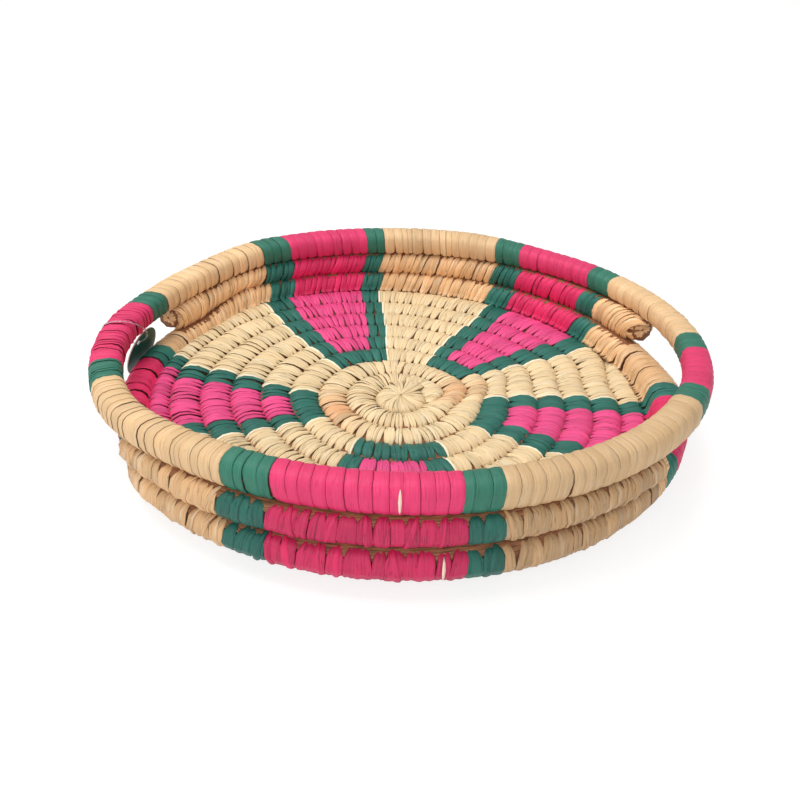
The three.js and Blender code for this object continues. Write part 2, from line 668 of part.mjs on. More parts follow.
// Oval loop that passes over the grip and down through the tag's hole
const gripCentre = rimMiddle(LOOP_GRIP_ANGLE);
const loopDown = holeCentre.clone().sub(gripCentre);
const loopLength = loopDown.length();
loopDown.normalize();
const gripAxis = new THREE.Vector3(-Math.sin(LOOP_GRIP_ANGLE * RAD), Math.cos(LOOP_GRIP_ANGLE * RAD), 0);
const slant = Math.sqrt(1 - loopDown.dot(gripAxis) ** 2);
const loopOut = new THREE.Vector3().crossVectors(loopDown, gripAxis).normalize();
const over = RIM_HALF / slant + LOOP_CLEARANCE;
const loopHalfLong = (over + loopLength) / 2;
const loopHalfWide = RIM_HALF + LOOP_CLEARANCE + 1.2;
const loopCentre = gripCentre.clone().addScaledVector(loopDown, loopLength - loopHalfLong);

function loopGeometry() {
  const sections = [];
  for (let i = 0; i < LOOP_STEPS; i += 1) {
    const a = i * 2 * Math.PI / LOOP_STEPS;
    const along = loopCentre.clone()
      .addScaledVector(loopDown, loopHalfLong * Math.cos(a))
      .addScaledVector(loopOut, loopHalfWide * Math.sin(a));
    const tangent = loopDown.clone().multiplyScalar(-loopHalfLong * Math.sin(a))
      .addScaledVector(loopOut, loopHalfWide * Math.cos(a)).normalize();
    const side = new THREE.Vector3().crossVectors(loopDown, loopOut).normalize();
    const normal = new THREE.Vector3().crossVectors(side, tangent);
    const ring = [];
    for (let j = 0; j < LOOP_SIDES; j += 1) {
      const b = j * 2 * Math.PI / LOOP_SIDES;
      ring.push(along.clone()
        .addScaledVector(normal, LOOP_WIRE_RADIUS * Math.cos(b))
        .addScaledVector(side, LOOP_WIRE_RADIUS * Math.sin(b)));
    }
    sections.push(ring);
  }
  const points = sections.flat();
  const index = [];
  for (let i = 0; i < LOOP_STEPS; i += 1) {
    for (let j = 0; j < LOOP_SIDES; j += 1) {
      const a = i * LOOP_SIDES + j;
      const b = i * LOOP_SIDES + (j + 1) % LOOP_SIDES;
      const c = ((i + 1) % LOOP_STEPS) * LOOP_SIDES + j;
      const d = ((i + 1) % LOOP_STEPS) * LOOP_SIDES + (j + 1) % LOOP_SIDES;
      index.push(a, b, d, a, d, c);
    }
  }
  const geometry = new THREE.BufferGeometry().setFromPoints(points);
  geometry.setIndex(index);
  return geometry;
}

addMesh('tag_loop', loopGeometry(), COLOURS.nylon, 0.15);

export default group;
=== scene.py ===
import bpy
import numpy as np
from bpy.props import FloatProperty, FloatVectorProperty, PointerProperty
from bpy.types import Operator, Panel, PropertyGroup
from mathutils import Matrix


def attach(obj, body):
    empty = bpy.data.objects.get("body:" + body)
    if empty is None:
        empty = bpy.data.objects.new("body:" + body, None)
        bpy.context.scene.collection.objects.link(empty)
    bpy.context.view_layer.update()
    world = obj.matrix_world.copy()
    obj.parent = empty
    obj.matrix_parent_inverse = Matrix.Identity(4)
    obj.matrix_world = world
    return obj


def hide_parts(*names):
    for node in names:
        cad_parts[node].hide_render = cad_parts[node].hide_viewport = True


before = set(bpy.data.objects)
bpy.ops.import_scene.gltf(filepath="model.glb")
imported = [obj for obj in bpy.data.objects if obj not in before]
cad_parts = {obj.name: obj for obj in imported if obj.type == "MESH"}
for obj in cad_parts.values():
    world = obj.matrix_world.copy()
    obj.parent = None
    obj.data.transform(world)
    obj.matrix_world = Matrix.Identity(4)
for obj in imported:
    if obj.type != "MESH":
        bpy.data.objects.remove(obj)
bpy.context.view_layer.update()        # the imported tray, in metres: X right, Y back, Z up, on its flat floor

bl_info = {
    "name": "Woven Tray",
    "version": (1, 0, 0),
    "blender": (4, 5, 0),
    "location": "View3D > Sidebar > Woven Tray",
    "description": "Leaf wraps, straw core, hang tag and stage of a coiled straw tray",
    "category": "Object",
}

MM = 0.001
TURN = 360.0

# The coil's sizes in millimetres and degrees, which follow those of the CAD part
CENTRE_PITCH = 16.35
FLOOR_PITCH = 16.8
CENTRE_ROWS = 3
FLOOR_ROWS = 9
FLOOR_THICKNESS = 12.5
FLOOR_DISH = 2.2
FLOOR_RADIUS = CENTRE_ROWS * CENTRE_PITCH + (FLOOR_ROWS - CENTRE_ROWS) * FLOOR_PITCH

# Ovals of the floor's edge, the two wall rows and the rim: where the middle lies from the
# knot, the radius, and the share by which the oval is longer one way and shorter the other
FLOOR_RING = (-4.44, -2.97, FLOOR_RADIUS, 0.014)
ROW10_RING = (-4.44, -2.97, FLOOR_RADIUS + 8.15, 0.014)
ROW11_RING = (-2.6, -1.37, FLOOR_RADIUS + 11.55, 0.0265)
RIM_RING = (-0.75, 0.24, FLOOR_RADIUS + 11.95, 0.039)

# Half widths and heights of the wall rows and the rim, heights of the joints between them,
# and how much of the rim's climb each shares
ROW10_HALF, ROW11_HALF, RIM_HALF = 9.8, 9.4, 8.9
ROW10_Z, RIM_Z = 17.2, 49.5
ROW10_FOOT, RIM_CREST = 0.92, 0.95      # heights as shares of the half width
JOINT_LOW_Z, JOINT_HIGH_Z = 25.6, 41.7
RIM_TILT, JOINT_LOW_TILT, JOINT_HIGH_TILT = 0.028, 0.25, 0.75

# Uneven hand work, as shares or millimetres by direction: row 10 sinks at the left and rises
# at the right, the rim sags over both hand holes and is dented at the left
LEFT_SINK = [[132, 0], [152, 1], [205, 1], [222, 0]]
LEFT_ROW10_DROP, LEFT_ROW10_PULL, LEFT_ROW10_THINNER = 8.0, 8.0, 1.4
LEFT_JOINT_DROP, LEFT_ROW11_PULL, LEFT_FLOOR_PULL_ROWS = 7.0, 3.5, 0.45
LEFT_SAG = [[126, 0], [150, 0.8], [163, 1], [180, 0.9], [205, 0.6], [232, 0]]
LEFT_SAG_DEPTH = 5.0
RIM_DENT = [[128, 0], [158, -3], [186, 0], [210, 2.5], [240, 0]]
RIGHT_SAG = [[30, 1], [50, 0.85], [78, 0], [332, 0], [356, 0.8], [372, 1], [390, 1]]
RIGHT_SAG_DEPTH, RIGHT_RIM_THINNER = 2.6, 1.2
RIGHT_RISE = [[318, 0], [332, 1], [358, 1], [376, 0]]
RIGHT_ROW10_LIFT, RIGHT_ROW10_PUSH, RIGHT_JOINT_LIFT = 3.0, 1.0, 2.5

# Hand holes and the rounded ends of row 11 beside them
LEFT_OPENING, RIGHT_OPENING = (158.5, 213.0), (325.0, 381.0)
STUB_ROUND, STUB_SHRINK, STUB_DEPTH = 5.0, 0.74, 3.4
ROW11_HIGHEST = 16.6        # the leaf of row 11 reaches no lower than this under its top

# The seam, over which each floor row steps out to the next, and the floor coil's two ends
SEAM_FROM, SEAM_TO, CENTRE_SEAM_FROM, ROW3_SEAM_FROM = 370.0, 390.0, 340.0, 356.0
TURN_START = SEAM_TO - TURN
COIL_START, LEAF_START, ROW9_END = 350.0, 354.0, 388.0
START_HEIGHT, START_WIDTH = 0.72, 11.0  # first share of its height, and width at which it is full
ROW_OVERLAP = 0.15          # how far a floor row runs into the next on each side

# How far the lines between the floor rows wander, in rows, and each line's share of that
WANDER = [
    [30, -0.3], [67, -0.3], [100, -0.08], [132, 0.12], [165, 0], [205, -0.14],
    [256, 0.12], [290, 0.1], [329, 0.03], [357, 0.12], [370, 0.15],
]
WANDER_SHARE = np.array([0, 0.2, 0.3, 0.5, 0.8, 1.2, 1.1, 0.9, 0.85, 0])

# Leaf and straw, which only this script makes
TABLE_GAP = 0.06            # least height of the leaf over the table
RIM_SHEET_FROM = 380.5      # where the smooth sheet behind the right grip begins
STRAW_SINK, STRAW_SIDES = 1.5, 18
STRAW_SHORT = 0.3           # how far the straw stops short of a stub's end, in degrees
CORNER_OUT, CORNER_WIDE, CORNER_Z, CORNER_DROP, CORNER_TALL = 1.2, 4.0, 11.2, 3.2, 2.6

# Where each colour starts and ends along floor rows 4 to 9: green, magenta, green, natural
PETALS = {
    "back_right": [[35.3, 69.2], [32.3, 41.5, 60.8, 69.2], [32, 41, 59.5, 68.2],
                   [31.3, 40.2, 59, 66.7], [30.3, 38.7, 58.8, 65.2], [30.8, 37, 58.8, 65.2]],
    "back_left": [[101.3, 140.7], [99.8, 109.2, 128.5, 137.7], [98.3, 106, 127.5, 136.2],
                  [98, 104.7, 126.5, 134.7], [97.8, 103.2, 125.5, 132.7], [98.2, 103, 124.3, 131.2]],
    "left": [[180, 213], [176.5, 187, 203, 211], [172.5, 181.5, 202.5, 210.2],
             [171.2, 178.7, 201, 209.2], [171.2, 177.7, 200.5, 206.2], [167.2, 173.2, 199.5, 205.5]],
    "front": [[246.3, 294.8], [246.3, 254.8, 282, 292.3], [245.5, 253.5, 281.8, 291.6],
              [244.5, 252.3, 282.2, 290.8], [243.5, 251.3, 282.6, 290], [242.7, 250.3, 282.9, 289.3]],
    "right": [[325.5, 364.2], [327.3, 337.8, 356.2, 365.2], [326.3, 336.8, 356.8, 365.2],
              [328.7, 336.8, 356.8, 364.7], [328.7, 335.5, 357, 363.7], [329, 335.3, 356.5, 361.8]],
}

# The same four edges on wall rows 10 and 11 and on the rim
WALL_PETALS = {
    "back_right": {"row10": [33.4, 39.4, 59.7, 66.4], "row11": [35.4, 40.9, 59.5, 66.5],
                   "rim": [34.3, 40.7, 60.3, 66.9]},
    "back_left": {"row10": [96.8, 102.3, 121.4, 128.3], "row11": [97.1, 101.7, 121.1, 129.1],
                  "rim": [96.8, 101.6, 122.4, 130]},
    "left": {"row10": [166.2, 172.1, 198.6, 204.9], "rim": [162, 168, 194.3, 201.5]},
    "front": {"row10": [240.9, 248.8, 282.1, 288.4], "row11": [240.1, 248.8, 282, 288.1],
              "rim": [239.6, 248.5, 281.2, 288.2]},
    "right": {"row10": [328.1, 334.3, 355.9, 361.7], "rim": [334.5, 340.5, 357.6, 364.3]},
}
PETAL_ORDER = ["back_right", "back_left", "left", "front", "right"]
NATURAL_AFTER = {"back_right": "rear", "back_left": "left_rear", "left": "left_front",
                 "front": "right_front", "right": "right_rear"}

# Card tag and its nylon loop on the left grip
TAG_CENTRE = np.array([-162.2, 31.0, 16.1])
TAG_HEADING, TAG_LEAN = np.radians(-18), np.radians(15)
TAG_HOLE_RADIUS, TAG_HOLE_FROM_CENTRE, TAG_HOLE_TURN = 1.4, 12.8, np.radians(35)
TAG_HOLE = TAG_HOLE_FROM_CENTRE * np.array([np.sin(TAG_HOLE_TURN), np.cos(TAG_HOLE_TURN)])
LOOP_GRIP_ANGLE, LOOP_CLEARANCE, LOOP_SPARE = 176.0, 2.0, 1.2
AROUND = np.radians(np.linspace(0, TURN, 96, endpoint=False))      # round the tag and the loop


# ---- shape of the coil

def smooth(x):
    """3x² - 2x³, with x held between 0 and 1."""
    x = np.clip(x, 0, 1)
    return x * x * (3 - 2 * x)


def eased(table, x):
    """Value of a table of [place, value] pairs, eased from each pair to the next."""
    places, values = np.array(table, dtype=float).T
    x = np.asarray(x, dtype=float)
    i = np.clip(np.searchsorted(places, x, side="right") - 1, 0, len(places) - 2)
    share = smooth((x - places[i]) / (places[i + 1] - places[i]))
    return values[i] + (values[i + 1] - values[i]) * share


def wrapped(angle):
    """The same direction, between 30 and 390 degrees."""
    return (np.asarray(angle, dtype=float) - TURN_START) % TURN + TURN_START


def past_right_hole(a):
    """A wrapped direction, counted on over the seam as far as the right hole's far end."""
    return np.where(a < TURN_START + 10, a + TURN, a)


def ring_reach(angle, ring):
    """Distance from the knot to an oval ring whose centre is beside the knot. The ring's
    radius is R (1 + oval cos 2θ) about its own centre, and six turns find θ."""
    x, y, radius, oval = ring
    a = np.radians(angle)
    c, s = np.cos(a), np.sin(a)
    theta = a
    for _ in range(6):
        r = radius * (1 + oval * np.cos(2 * theta))
        b = x * c + y * s
        reach = b + np.sqrt(b * b - x * x - y * y + r * r)
        theta = np.arctan2(reach * s - y, reach * c - x)
    return reach


def line_radius(line, angle):
    """Radius of the line outside a floor row: whole rows out from the knot, a wander of
    the hand, and one step out across the seam."""
    line = np.asarray(line)
    start = np.where(line < CENTRE_ROWS, CENTRE_SEAM_FROM,
                     np.where(line == CENTRE_ROWS, ROW3_SEAM_FROM, SEAM_FROM))
    here = line + WANDER_SHARE[line] * eased(WANDER, np.minimum(angle, start))
    after = line + 1 + WANDER_SHARE[np.minimum(line + 1, FLOOR_ROWS)] * WANDER[0][1]
    level = here + (after - here) * smooth((angle - start) / (SEAM_TO - start))
    level = np.where(line == 0, 1 + WANDER_SHARE[1] * WANDER[0][1], level)
    level = np.where(line == FLOOR_ROWS, line - LEFT_FLOOR_PULL_ROWS * eased(LEFT_SINK, angle), level)
    out = np.minimum(level, CENTRE_ROWS) * CENTRE_PITCH
    out = out + np.maximum(level - CENTRE_ROWS, 0) * FLOOR_PITCH
    return out * ring_reach(angle, FLOOR_RING) / FLOOR_RADIUS


def floor_coil(s):
    """Angle, middle radius, middle height and two half sizes of the floor's coil, s degrees
    along it from the knot."""
    row = np.clip(np.floor((s - TURN_START) / TURN).astype(int) + 1, 1, FLOOR_ROWS)
    angle = s - TURN * (row - 1)
    inner, outer = line_radius(row - 1, angle), line_radius(row, angle)
    mid, width = (inner + outer) / 2, outer - inner
    top = FLOOR_THICKNESS + FLOOR_DISH * (mid / FLOOR_RADIUS) ** 2
    top = top * (START_HEIGHT + (1 - START_HEIGHT) * smooth(width / START_WIDTH))
    return angle, mid, top / 2, width / 2 + ROW_OVERLAP, top / 2


def tilt_at(angle, r):
    """How far the rim climbs towards the front right: slope × (x - y) of a point of the plan."""
    a = np.radians(angle)
    return RIM_TILT * r * np.cos(a) - RIM_TILT * r * np.sin(a)


def joint_low(angle, r):
    """Height of the joint between wall rows 10 and 11."""
    a = wrapped(angle)
    return (JOINT_LOW_Z + JOINT_LOW_TILT * tilt_at(angle, r) + RIGHT_JOINT_LIFT * eased(RIGHT_RISE, a)
            - LEFT_JOINT_DROP * eased(LEFT_SINK, a))


def joint_high(angle, r):
    """Height of the joint between wall row 11 and the rim."""
    return (JOINT_HIGH_Z + JOINT_HIGH_TILT * tilt_at(angle, r)
            - LEFT_SAG_DEPTH * eased(LEFT_SAG, wrapped(angle)))


def row10_coil(angle):
    """The lowest wall row: it sinks to the table at the left and has climbed at the right."""
    a = wrapped(angle)
    sink, rise = eased(LEFT_SINK, a), eased(RIGHT_RISE, a)
    half = ROW10_HALF - LEFT_ROW10_THINNER * sink
    r = ring_reach(angle, ROW10_RING) - LEFT_ROW10_PULL * sink + RIGHT_ROW10_PUSH * rise
    mid = ROW10_Z - LEFT_ROW10_DROP * sink + RIGHT_ROW10_LIFT * rise
    low, top = mid - ROW10_FOOT * half, joint_low(angle, r)
    return angle, r, (low + top) / 2, half, (top - low) / 2


def row11_coil(angle):
    """The middle wall row, whose ends at the hand holes are rounded stubs."""
    a = wrapped(angle)
    r = ring_reach(angle, ROW11_RING) - LEFT_ROW11_PULL * eased(LEFT_SINK, a)
    top = joint_high(angle, r)
    low = np.maximum(joint_low(angle, r), top - ROW11_HIGHEST)
    left = np.abs(a - np.clip(a, *LEFT_OPENING))
    b = past_right_hole(a)
    right = np.abs(b - np.clip(b, *RIGHT_OPENING))
    near = np.minimum(left, right) * np.radians(1) * r
    shrink = STUB_SHRINK + (1 - STUB_SHRINK) * np.sqrt(np.clip(near / STUB_ROUND, 0, 1))
    return angle, r, (low + top) / 2, ROW11_HALF * shrink, (top - low) / 2 * shrink


def rim_middle(angle):
    """Radius, height and half width of the rim, which sags a little over both hand holes."""
    a = wrapped(angle)
    right = eased(RIGHT_SAG, a)
    r = ring_reach(angle, RIM_RING) + eased(RIM_DENT, a)
    z = RIM_Z + tilt_at(angle, r) - LEFT_SAG_DEPTH * eased(LEFT_SAG, a) - RIGHT_SAG_DEPTH * right
    return r, z, RIM_HALF - RIGHT_RIM_THINNER * right


def rim_coil(angle):
    """The rim, free over both hand holes, from the joint below it to its crest."""
    r, z, half = rim_middle(angle)
    low, top = joint_high(angle, r), z + RIM_CREST * half
    return angle, r, (low + top) / 2, half, (top - low) / 2


COILS = {"floor": floor_coil, "row10": row10_coil, "row11": row11_coil, "rim": rim_coil}
POWER = {"floor": 1.0, "row10": 0.86, "row11": 0.84, "rim": 0.7}


def coil_surface(row, s, t, lift=0.0, outward=0.0, upward=0.0):
    """A point t degrees round the coil's section (0 outside, 90 on top), lifted along the
    normal. The section is |r/a|^(2/e) + |z/b|^(2/e) = 1 about the coil's middle."""
    angle, mid, height, a, b = COILS[row](s)
    e = POWER[row]
    c, d = np.cos(np.radians(t)), np.sin(np.radians(t))
    nr = np.sign(c) * np.abs(c) ** (2 - e) / a
    nz = np.sign(d) * np.abs(d) ** (2 - e) / b
    size = np.sqrt(nr * nr + nz * nz)
    r = mid + a * np.sign(c) * np.abs(c) ** e + lift * nr / size + outward
    z = height + b * np.sign(d) * np.abs(d) ** e + lift * nz / size + upward
    z = np.maximum(z, TABLE_GAP) if row in ("floor", "row10") else z
    phi = np.radians(angle)
    return np.stack([r * np.cos(phi), r * np.sin(phi), z], axis=-1)


# ---- strips of leaf

def same(stations, *look):
    """One look at several places round the section."""
    return [[t, *look] for t in stations]


# How a strip looks along its way round the coil. Each station: place round the section,
# width, lift, and outward and upward shift in millimetres. Tips are narrow where they
# are stitched into the row before, and pinched where the next row is stitched over them.
OUT_TOP = [[88, 0.5, -1.2, 0, 0], [66, 0.68, -0.5, 0, 0], [46, 0.88, 0, 0, 0], [26, 1.03, 0.1, 0, 0]]
FACES = {
    "floor_top": [[170, 0.25, -0.5, -2.4, 1.2], [158, 0.62, 0.3, -1.6, 1.0], [138, 0.96, 0.3, -0.4, 0.3],
                  *same((110, 78), 1.05, 0.1, 0, 0), [54, 0.95, 0.05, 0, 0], [30, 0.7, -0.1, 0, 0],
                  [2, 0.42, -1.2, 0, 0]],
    "floor_under": [[2, 0.7, -0.8, 0, 0], [-28, 0.95, 0, 0, 0], *same((-60, -95), 1.04, 0.2, 0, 0),
                    [-130, 1.04, 0, 0, 0], [-160, 0.9, -0.1, 0, 0], [-182, 0.6, -0.9, 0, 0]],
    "row10_in": [[206, 0.85, -0.2, -1.4, -1.2], [196, 1.0, 0.4, -1.0, -0.4], [180, 1.06, 0.4, -0.1, 0],
                 [162, 1.04, 0.2, 0, 0], [144, 1.04, 0.1, 0, 0], [126, 0.98, 0, 0, 0],
                 [108, 0.8, -0.3, 0, 0], [92, 0.5, -1.2, 0, 0]],
    "row10_out": [*OUT_TOP, *same((-12, -50), 1.06, 0.15, 0, 0), [-85, 1.04, 0.1, 0, 0],
                  [-120, 1.04, 0.2, 0, 0], [-146, 1.0, 0.4, 0, -0.6], [-160, 0.8, 0.2, 0, -1.2]],
    "row11_in": [[250, 0.5, -0.3, -1.7, -1.7], [232, 0.86, 0.3, -0.8, -0.6], [210, 1.02, 0.35, 0, 0],
                 [186, 1.04, 0.25, 0, 0], [160, 1.04, 0.2, 0, 0], [136, 0.98, 0, 0, 0],
                 [114, 0.8, -0.35, 0, 0], [92, 0.5, -1.3, 0, 0]],
    "row11_out": [*OUT_TOP, [-12, 1.06, 0.2, 0, 0], [-44, 1.05, 0.25, 0, 0], [-64, 0.92, 0.25, 0, -0.3],
                  [-80, 0.66, -0.2, 0, -0.8]],
    "row10_round": [[206, 0.6, 0, 0, 0], [196, 0.9, 0.3, 0, 0], [178, 1.05, 0.3, 0, 0],
                    *same((150, 122, 94, 66, 38, 10, -18, -46), 1.05, 0.1, 0, 0), [-74, 1.05, 0, 0, 0],
                    [-105, 1.04, 0.1, 0, 0], [-130, 1.0, 0.3, 0, -0.4], [-152, 0.8, 0.2, 0, -1.2]],
    "rim_round": [[256, 0.4, -0.6, -0.9, -0.9], [238, 0.72, 0.2, -0.3, -0.2], [216, 0.97, 0.25, 0, 0],
                  [184, 1.06, 0.15, 0, 0], *same((158, 134, 110, 84, 58, 34), 1.06, 0.1, 0, 0),
                  [8, 1.06, 0.15, 0, 0], [-20, 1.06, 0.2, 0, 0], [-46, 1.06, 0.25, 0, 0],
                  [-66, 0.98, 0.2, 0, -0.2], [-84, 0.72, -0.5, 0, -0.4]],
    "grip_round": [[268, 1.0, 0, 0, 0],
                   *same((240, 212, 184, 156, 128, 100, 72, 44, 16, -12, -40, -66), 1.04, 0.1, 0, 0),
                   [-94, 1.0, 0, 0, 0]],
    "sliver": [[44, 0.15, 0, 0, 0], [26, 0.7, 0.1, 0, 0], [4, 1.0, 0.1, 0, 0], [-18, 0.7, 0.1, 0, 0],
               [-34, 0.15, 0, 0, 0]],
}

# Lean of the strips by direction: the far end's turn towards larger angles, in degrees
FLOOR_LEAN = [[30, -9], [60, -10], [88, -13], [100, -5], [130, 2], [170, 8], [230, 8], [275, 4],
              [330, -3], [390, -9]]
WALL_IN_LEAN = [[30, -15], [60, -16], [120, -17], [170, -10], [230, 4], [300, 4], [350, -8], [390, -15]]
OUT_LEAN = [[30, 4], [210, 4], [240, 5], [300, -2], [390, 4]]
RIM_LEAN = [[30, 6], [120, 6], [200, 5], [230, 7], [250, 11], [270, 2], [290, -8], [310, -6], [390, 6]]
LEANS = {"floor_top": FLOOR_LEAN, "floor_under": FLOOR_LEAN, "row10_in": WALL_IN_LEAN,
         "row11_in": WALL_IN_LEAN, "row10_out": OUT_LEAN, "row11_out": OUT_LEAN, "row10_round": OUT_LEAN,
         "rim_round": RIM_LEAN, "grip_round": RIM_LEAN, "sliver": OUT_LEAN}

# Painted light and shade, as factors on the leaf's brightness: of the natural leaf round the rim,
# of any leaf on the wall's two sides, and of the natural leaf round the outside of the wall. They
# make the front right darker and the wall lighter inside than outside, as the light falls there
RIM_PAINTED_LIGHT = [[30, 1.06], [66, 0.97], [97, 0.97], [130, 1.04], [162, 1.06], [200, 0.98], [240, 0.92],
              [290, 0.78], [330, 0.84], [364, 1.0], [390, 1.06]]
WALL_PAINTED_LIGHT = {"in": 1.13, "out": 0.84}
NATURAL_OUT_PAINTED_LIGHT = [[30, 1.0], [210, 1.13], [240, 1.05], [290, 0.82], [330, 0.84], [390, 1.0]]

# Places across a strip, over its top and back through the middle of its underside, and how
# high each stands, for a folded strip, a plump one and a flat one
ACROSS = np.array([-1.0, -0.85, -0.45, 0.0, 0.45, 0.85, 1.0, 0.0])
LEFT_OF_CREASE, CREASE, RIGHT_OF_CREASE, UNDERSIDE = 2, 3, 4, 7
HEIGHTS = {
    "folded": np.array([-0.5, 0.1, 0.36, 0.14, 0.36, 0.1, -0.5, -1.1]),
    "plump": np.array([-0.55, 0.12, 0.42, 0.5, 0.42, 0.12, -0.55, -1.1]),
    "flat": np.array([-0.3, 0.14, 0.24, 0.26, 0.22, 0.0, -0.4, -1.0]),
}


def add_to_scene(name, data):
    """A new object in the scene."""
    made = bpy.data.objects.new(name, data)
    bpy.context.scene.collection.objects.link(made)
    return made


# Where the two lowest stations of row 10's strips are stitched into the floor: how far in
# from its edge, how high, how much lower at the left, and with what share of the way there
SEATS = ((4.6, 13.6, 2.2, 1.0), (2.2, 15.2, 2.8, 0.75))


def new_object(name, points, faces, material, layers):
    """A smooth mesh object at the origin, from millimetres, with vectors of its own by name."""
    mesh = bpy.data.meshes.new(name)
    mesh.from_pydata(points * MM, [], faces)
    for label, rows in layers.items():
        layer = mesh.attributes.new(label, "FLOAT_VECTOR", "POINT")
        layer.data.foreach_set("vector", rows.astype(np.float32).ravel())
    mesh.polygons.foreach_set("use_smooth", np.ones(len(faces), dtype=bool))
    mesh.update()
    mesh.materials.append(material)
    return add_to_scene(name, mesh)


class Leaf:
    """Gathers strips as whole arrays and makes one mesh of them. Each point carries the
    strip's own coordinates (across, along, a number of the strip's own) as "leaf", and
    brightness (painted light and shade with a random tone), stain (under 0 bleached) and
    nearness to an edge or crease (darkened as painted shade, partly the leaf's own dark edge) as "tone"."""

    def __init__(self):
        self.points, self.faces, self.leaf, self.tone = [], [], [], []
        self.count = 0

    def add_grid(self, points, leaf, tone):
        """Closed strips: points[strip, station, around]. Quads run round each strip, and
        three quads close each end."""
        n, m, k = points.shape[:3]
        base = self.count + np.arange(n)[:, None, None] * m * k
        j, c = np.arange(m - 1)[None, :, None], np.arange(k)[None, None, :]
        after = (c + 1) % k
        sides = np.stack([base + j * k + c, base + (j + 1) * k + c,
                          base + (j + 1) * k + after, base + j * k + after], axis=-1)
        half = np.arange(k // 2 - 1)
        cap = np.stack([half, half + 1, k - 2 - half, k - 1 - half], axis=-1)
        ends = base + cap[None, :, :], base + (m - 1) * k + cap[None, :, ::-1]
        self.faces += [quads.reshape(-1, 4) for quads in (sides, *ends)]
        self.points.append(points.reshape(-1, 3))
        self.leaf.append(np.broadcast_to(leaf, points.shape).reshape(-1, 3))
        self.tone.append(np.broadcast_to(tone, points.shape).reshape(-1, 3))
        self.count += n * m * k

    def add_strips(self, row, face, centres, halves, rng, kind="folded", jitter=1.0, light_and_tone=1.0, spread=0.06,
                   blush=0.0, shingle=0.0, widen=1.0, raised=0.0, creased=0.8, shade_lines=1.0, turned=0.0):
        """Strips of leaf over a coil. Station j of strip i lies at angle
        centre + lean × way + u × half width, with u running across the strip, and is lifted
        by the height across, the strip's own tilt and the station's lift."""
        n = len(centres)
        if n == 0:
            return
        t, width, lift, shift, rise = np.array(FACES[face], dtype=float).T
        m = len(t)
        centres = np.asarray(centres, dtype=float)
        halves = np.broadcast_to(np.asarray(halves, dtype=float), (n,))
        angle = wrapped(centres)
        centre = centres + rng.normal(0, 0.035, n) * 2 * halves * jitter
        mid_line = coil_surface(row, centre[:, None], t[None, :])
        shift, rise = np.tile(shift, (n, 1)), np.tile(rise, (n, 1))
        if face in ("row10_in", "row10_round"):
            self.seat_on_floor(angle, mid_line, shift, rise)
        steps = np.linalg.norm(np.diff(mid_line, axis=1), axis=-1)
        way = np.concatenate([np.zeros((n, 1)), np.cumsum(steps, axis=1)], axis=1)
        radius = np.linalg.norm(mid_line[..., :2], axis=-1)
        sign = -1.0 if face in ("row10_out", "row11_out") else 1.0
        lean = np.tan(np.radians(eased(LEANS[face], angle) + rng.normal(0, 2.2, n) * jitter)) * sign
        lean = lean + np.tan(np.radians(np.broadcast_to(turned, (n,))))
        swing = (way - way.mean(axis=1, keepdims=True)) * lean[:, None]
        half = halves[:, None] * width * widen * (1.04 + np.abs(rng.normal(0, 0.04, (n, 1))) * jitter)
        half = half * (1 + rng.normal(0, 0.02, (n, m)) * jitter)
        bend = rng.normal(0, 0.018, (n, m)) * jitter * halves[:, None] * 2
        s = (centre[:, None] + np.degrees(swing / radius) + bend)[:, :, None] + half[:, :, None] * ACROSS
        crease = np.where(rng.random(n) < creased, rng.uniform(0.7, 1.0, n), rng.uniform(0, 0.3, n))
        depth = np.zeros((n, 1, len(ACROSS)))
        depth[:, 0, CREASE] = -0.38 * crease + 0.12
        depth[:, 0, LEFT_OF_CREASE] = rng.uniform(-0.12, 0.1, n) * jitter
        depth[:, 0, RIGHT_OF_CREASE] = rng.uniform(-0.12, 0.1, n) * jitter
        tilt = (rng.normal(0, 0.14, n) * jitter + shingle)[:, None, None] * ACROSS
        tilt[..., UNDERSIDE] = 0
        tall = lift[None, :, None] + HEIGHTS[kind] + depth + tilt
        tall = (tall + rng.normal(0, 0.1, (n, 1, 1)) * jitter
                + rng.normal(0, 0.05, (n, m, 1)) * jitter + raised)
        points = coil_surface(row, s, t[None, :, None], tall, shift[:, :, None], rise[:, :, None])
        x = half[:, :, None] * np.radians(1) * radius[:, :, None] * ACROSS
        own = rng.uniform(0, 100, (n, 1, 1))
        # each strip's brightness: painted light and shade set by its place, times a random tone of its own
        strip_light_and_tone = light_and_tone * (1 + rng.normal(0, spread, n))
        stain = np.broadcast_to(blush, (n,))
        self.add_toned(points, x, way[:, :, None], own, strip_light_and_tone[:, None, None], stain[:, None, None],
                       crease[:, None], shade_lines)

    @staticmethod
    def seat_on_floor(angle, mid_line, shift, rise):
        """Moves the two lowest stations of row 10's strips to where they are stitched into
        the floor's last row."""
        out = np.linalg.norm(mid_line[..., :2], axis=-1)
        sink = eased(LEFT_SINK, angle)
        seam = line_radius(np.full(len(angle), FLOOR_ROWS), angle)
        for j, (inset, height, drop, share) in enumerate(SEATS):
            shift[:, j] = share * (seam - inset - out[:, j])
            rise[:, j] = share * (height - drop * sink - mid_line[:, j, 2])

    def add_toned(self, points, x, y, own, strip_light_and_tone, stain, crease, shade_lines=1.0):
        """Strips with their own coordinates and tones; an edge counts as 1, and so does a sharp crease,
        both darkened by the finish as painted shade, unless the strip is given less of that shade."""
        edge = np.array(np.broadcast_to(ACROSS ** 2, x.shape))
        edge[..., CREASE] = crease
        self.add_grid(points, np.stack(np.broadcast_arrays(x, y, own), axis=-1),
                      np.stack(np.broadcast_arrays(strip_light_and_tone, stain, edge * shade_lines), axis=-1))

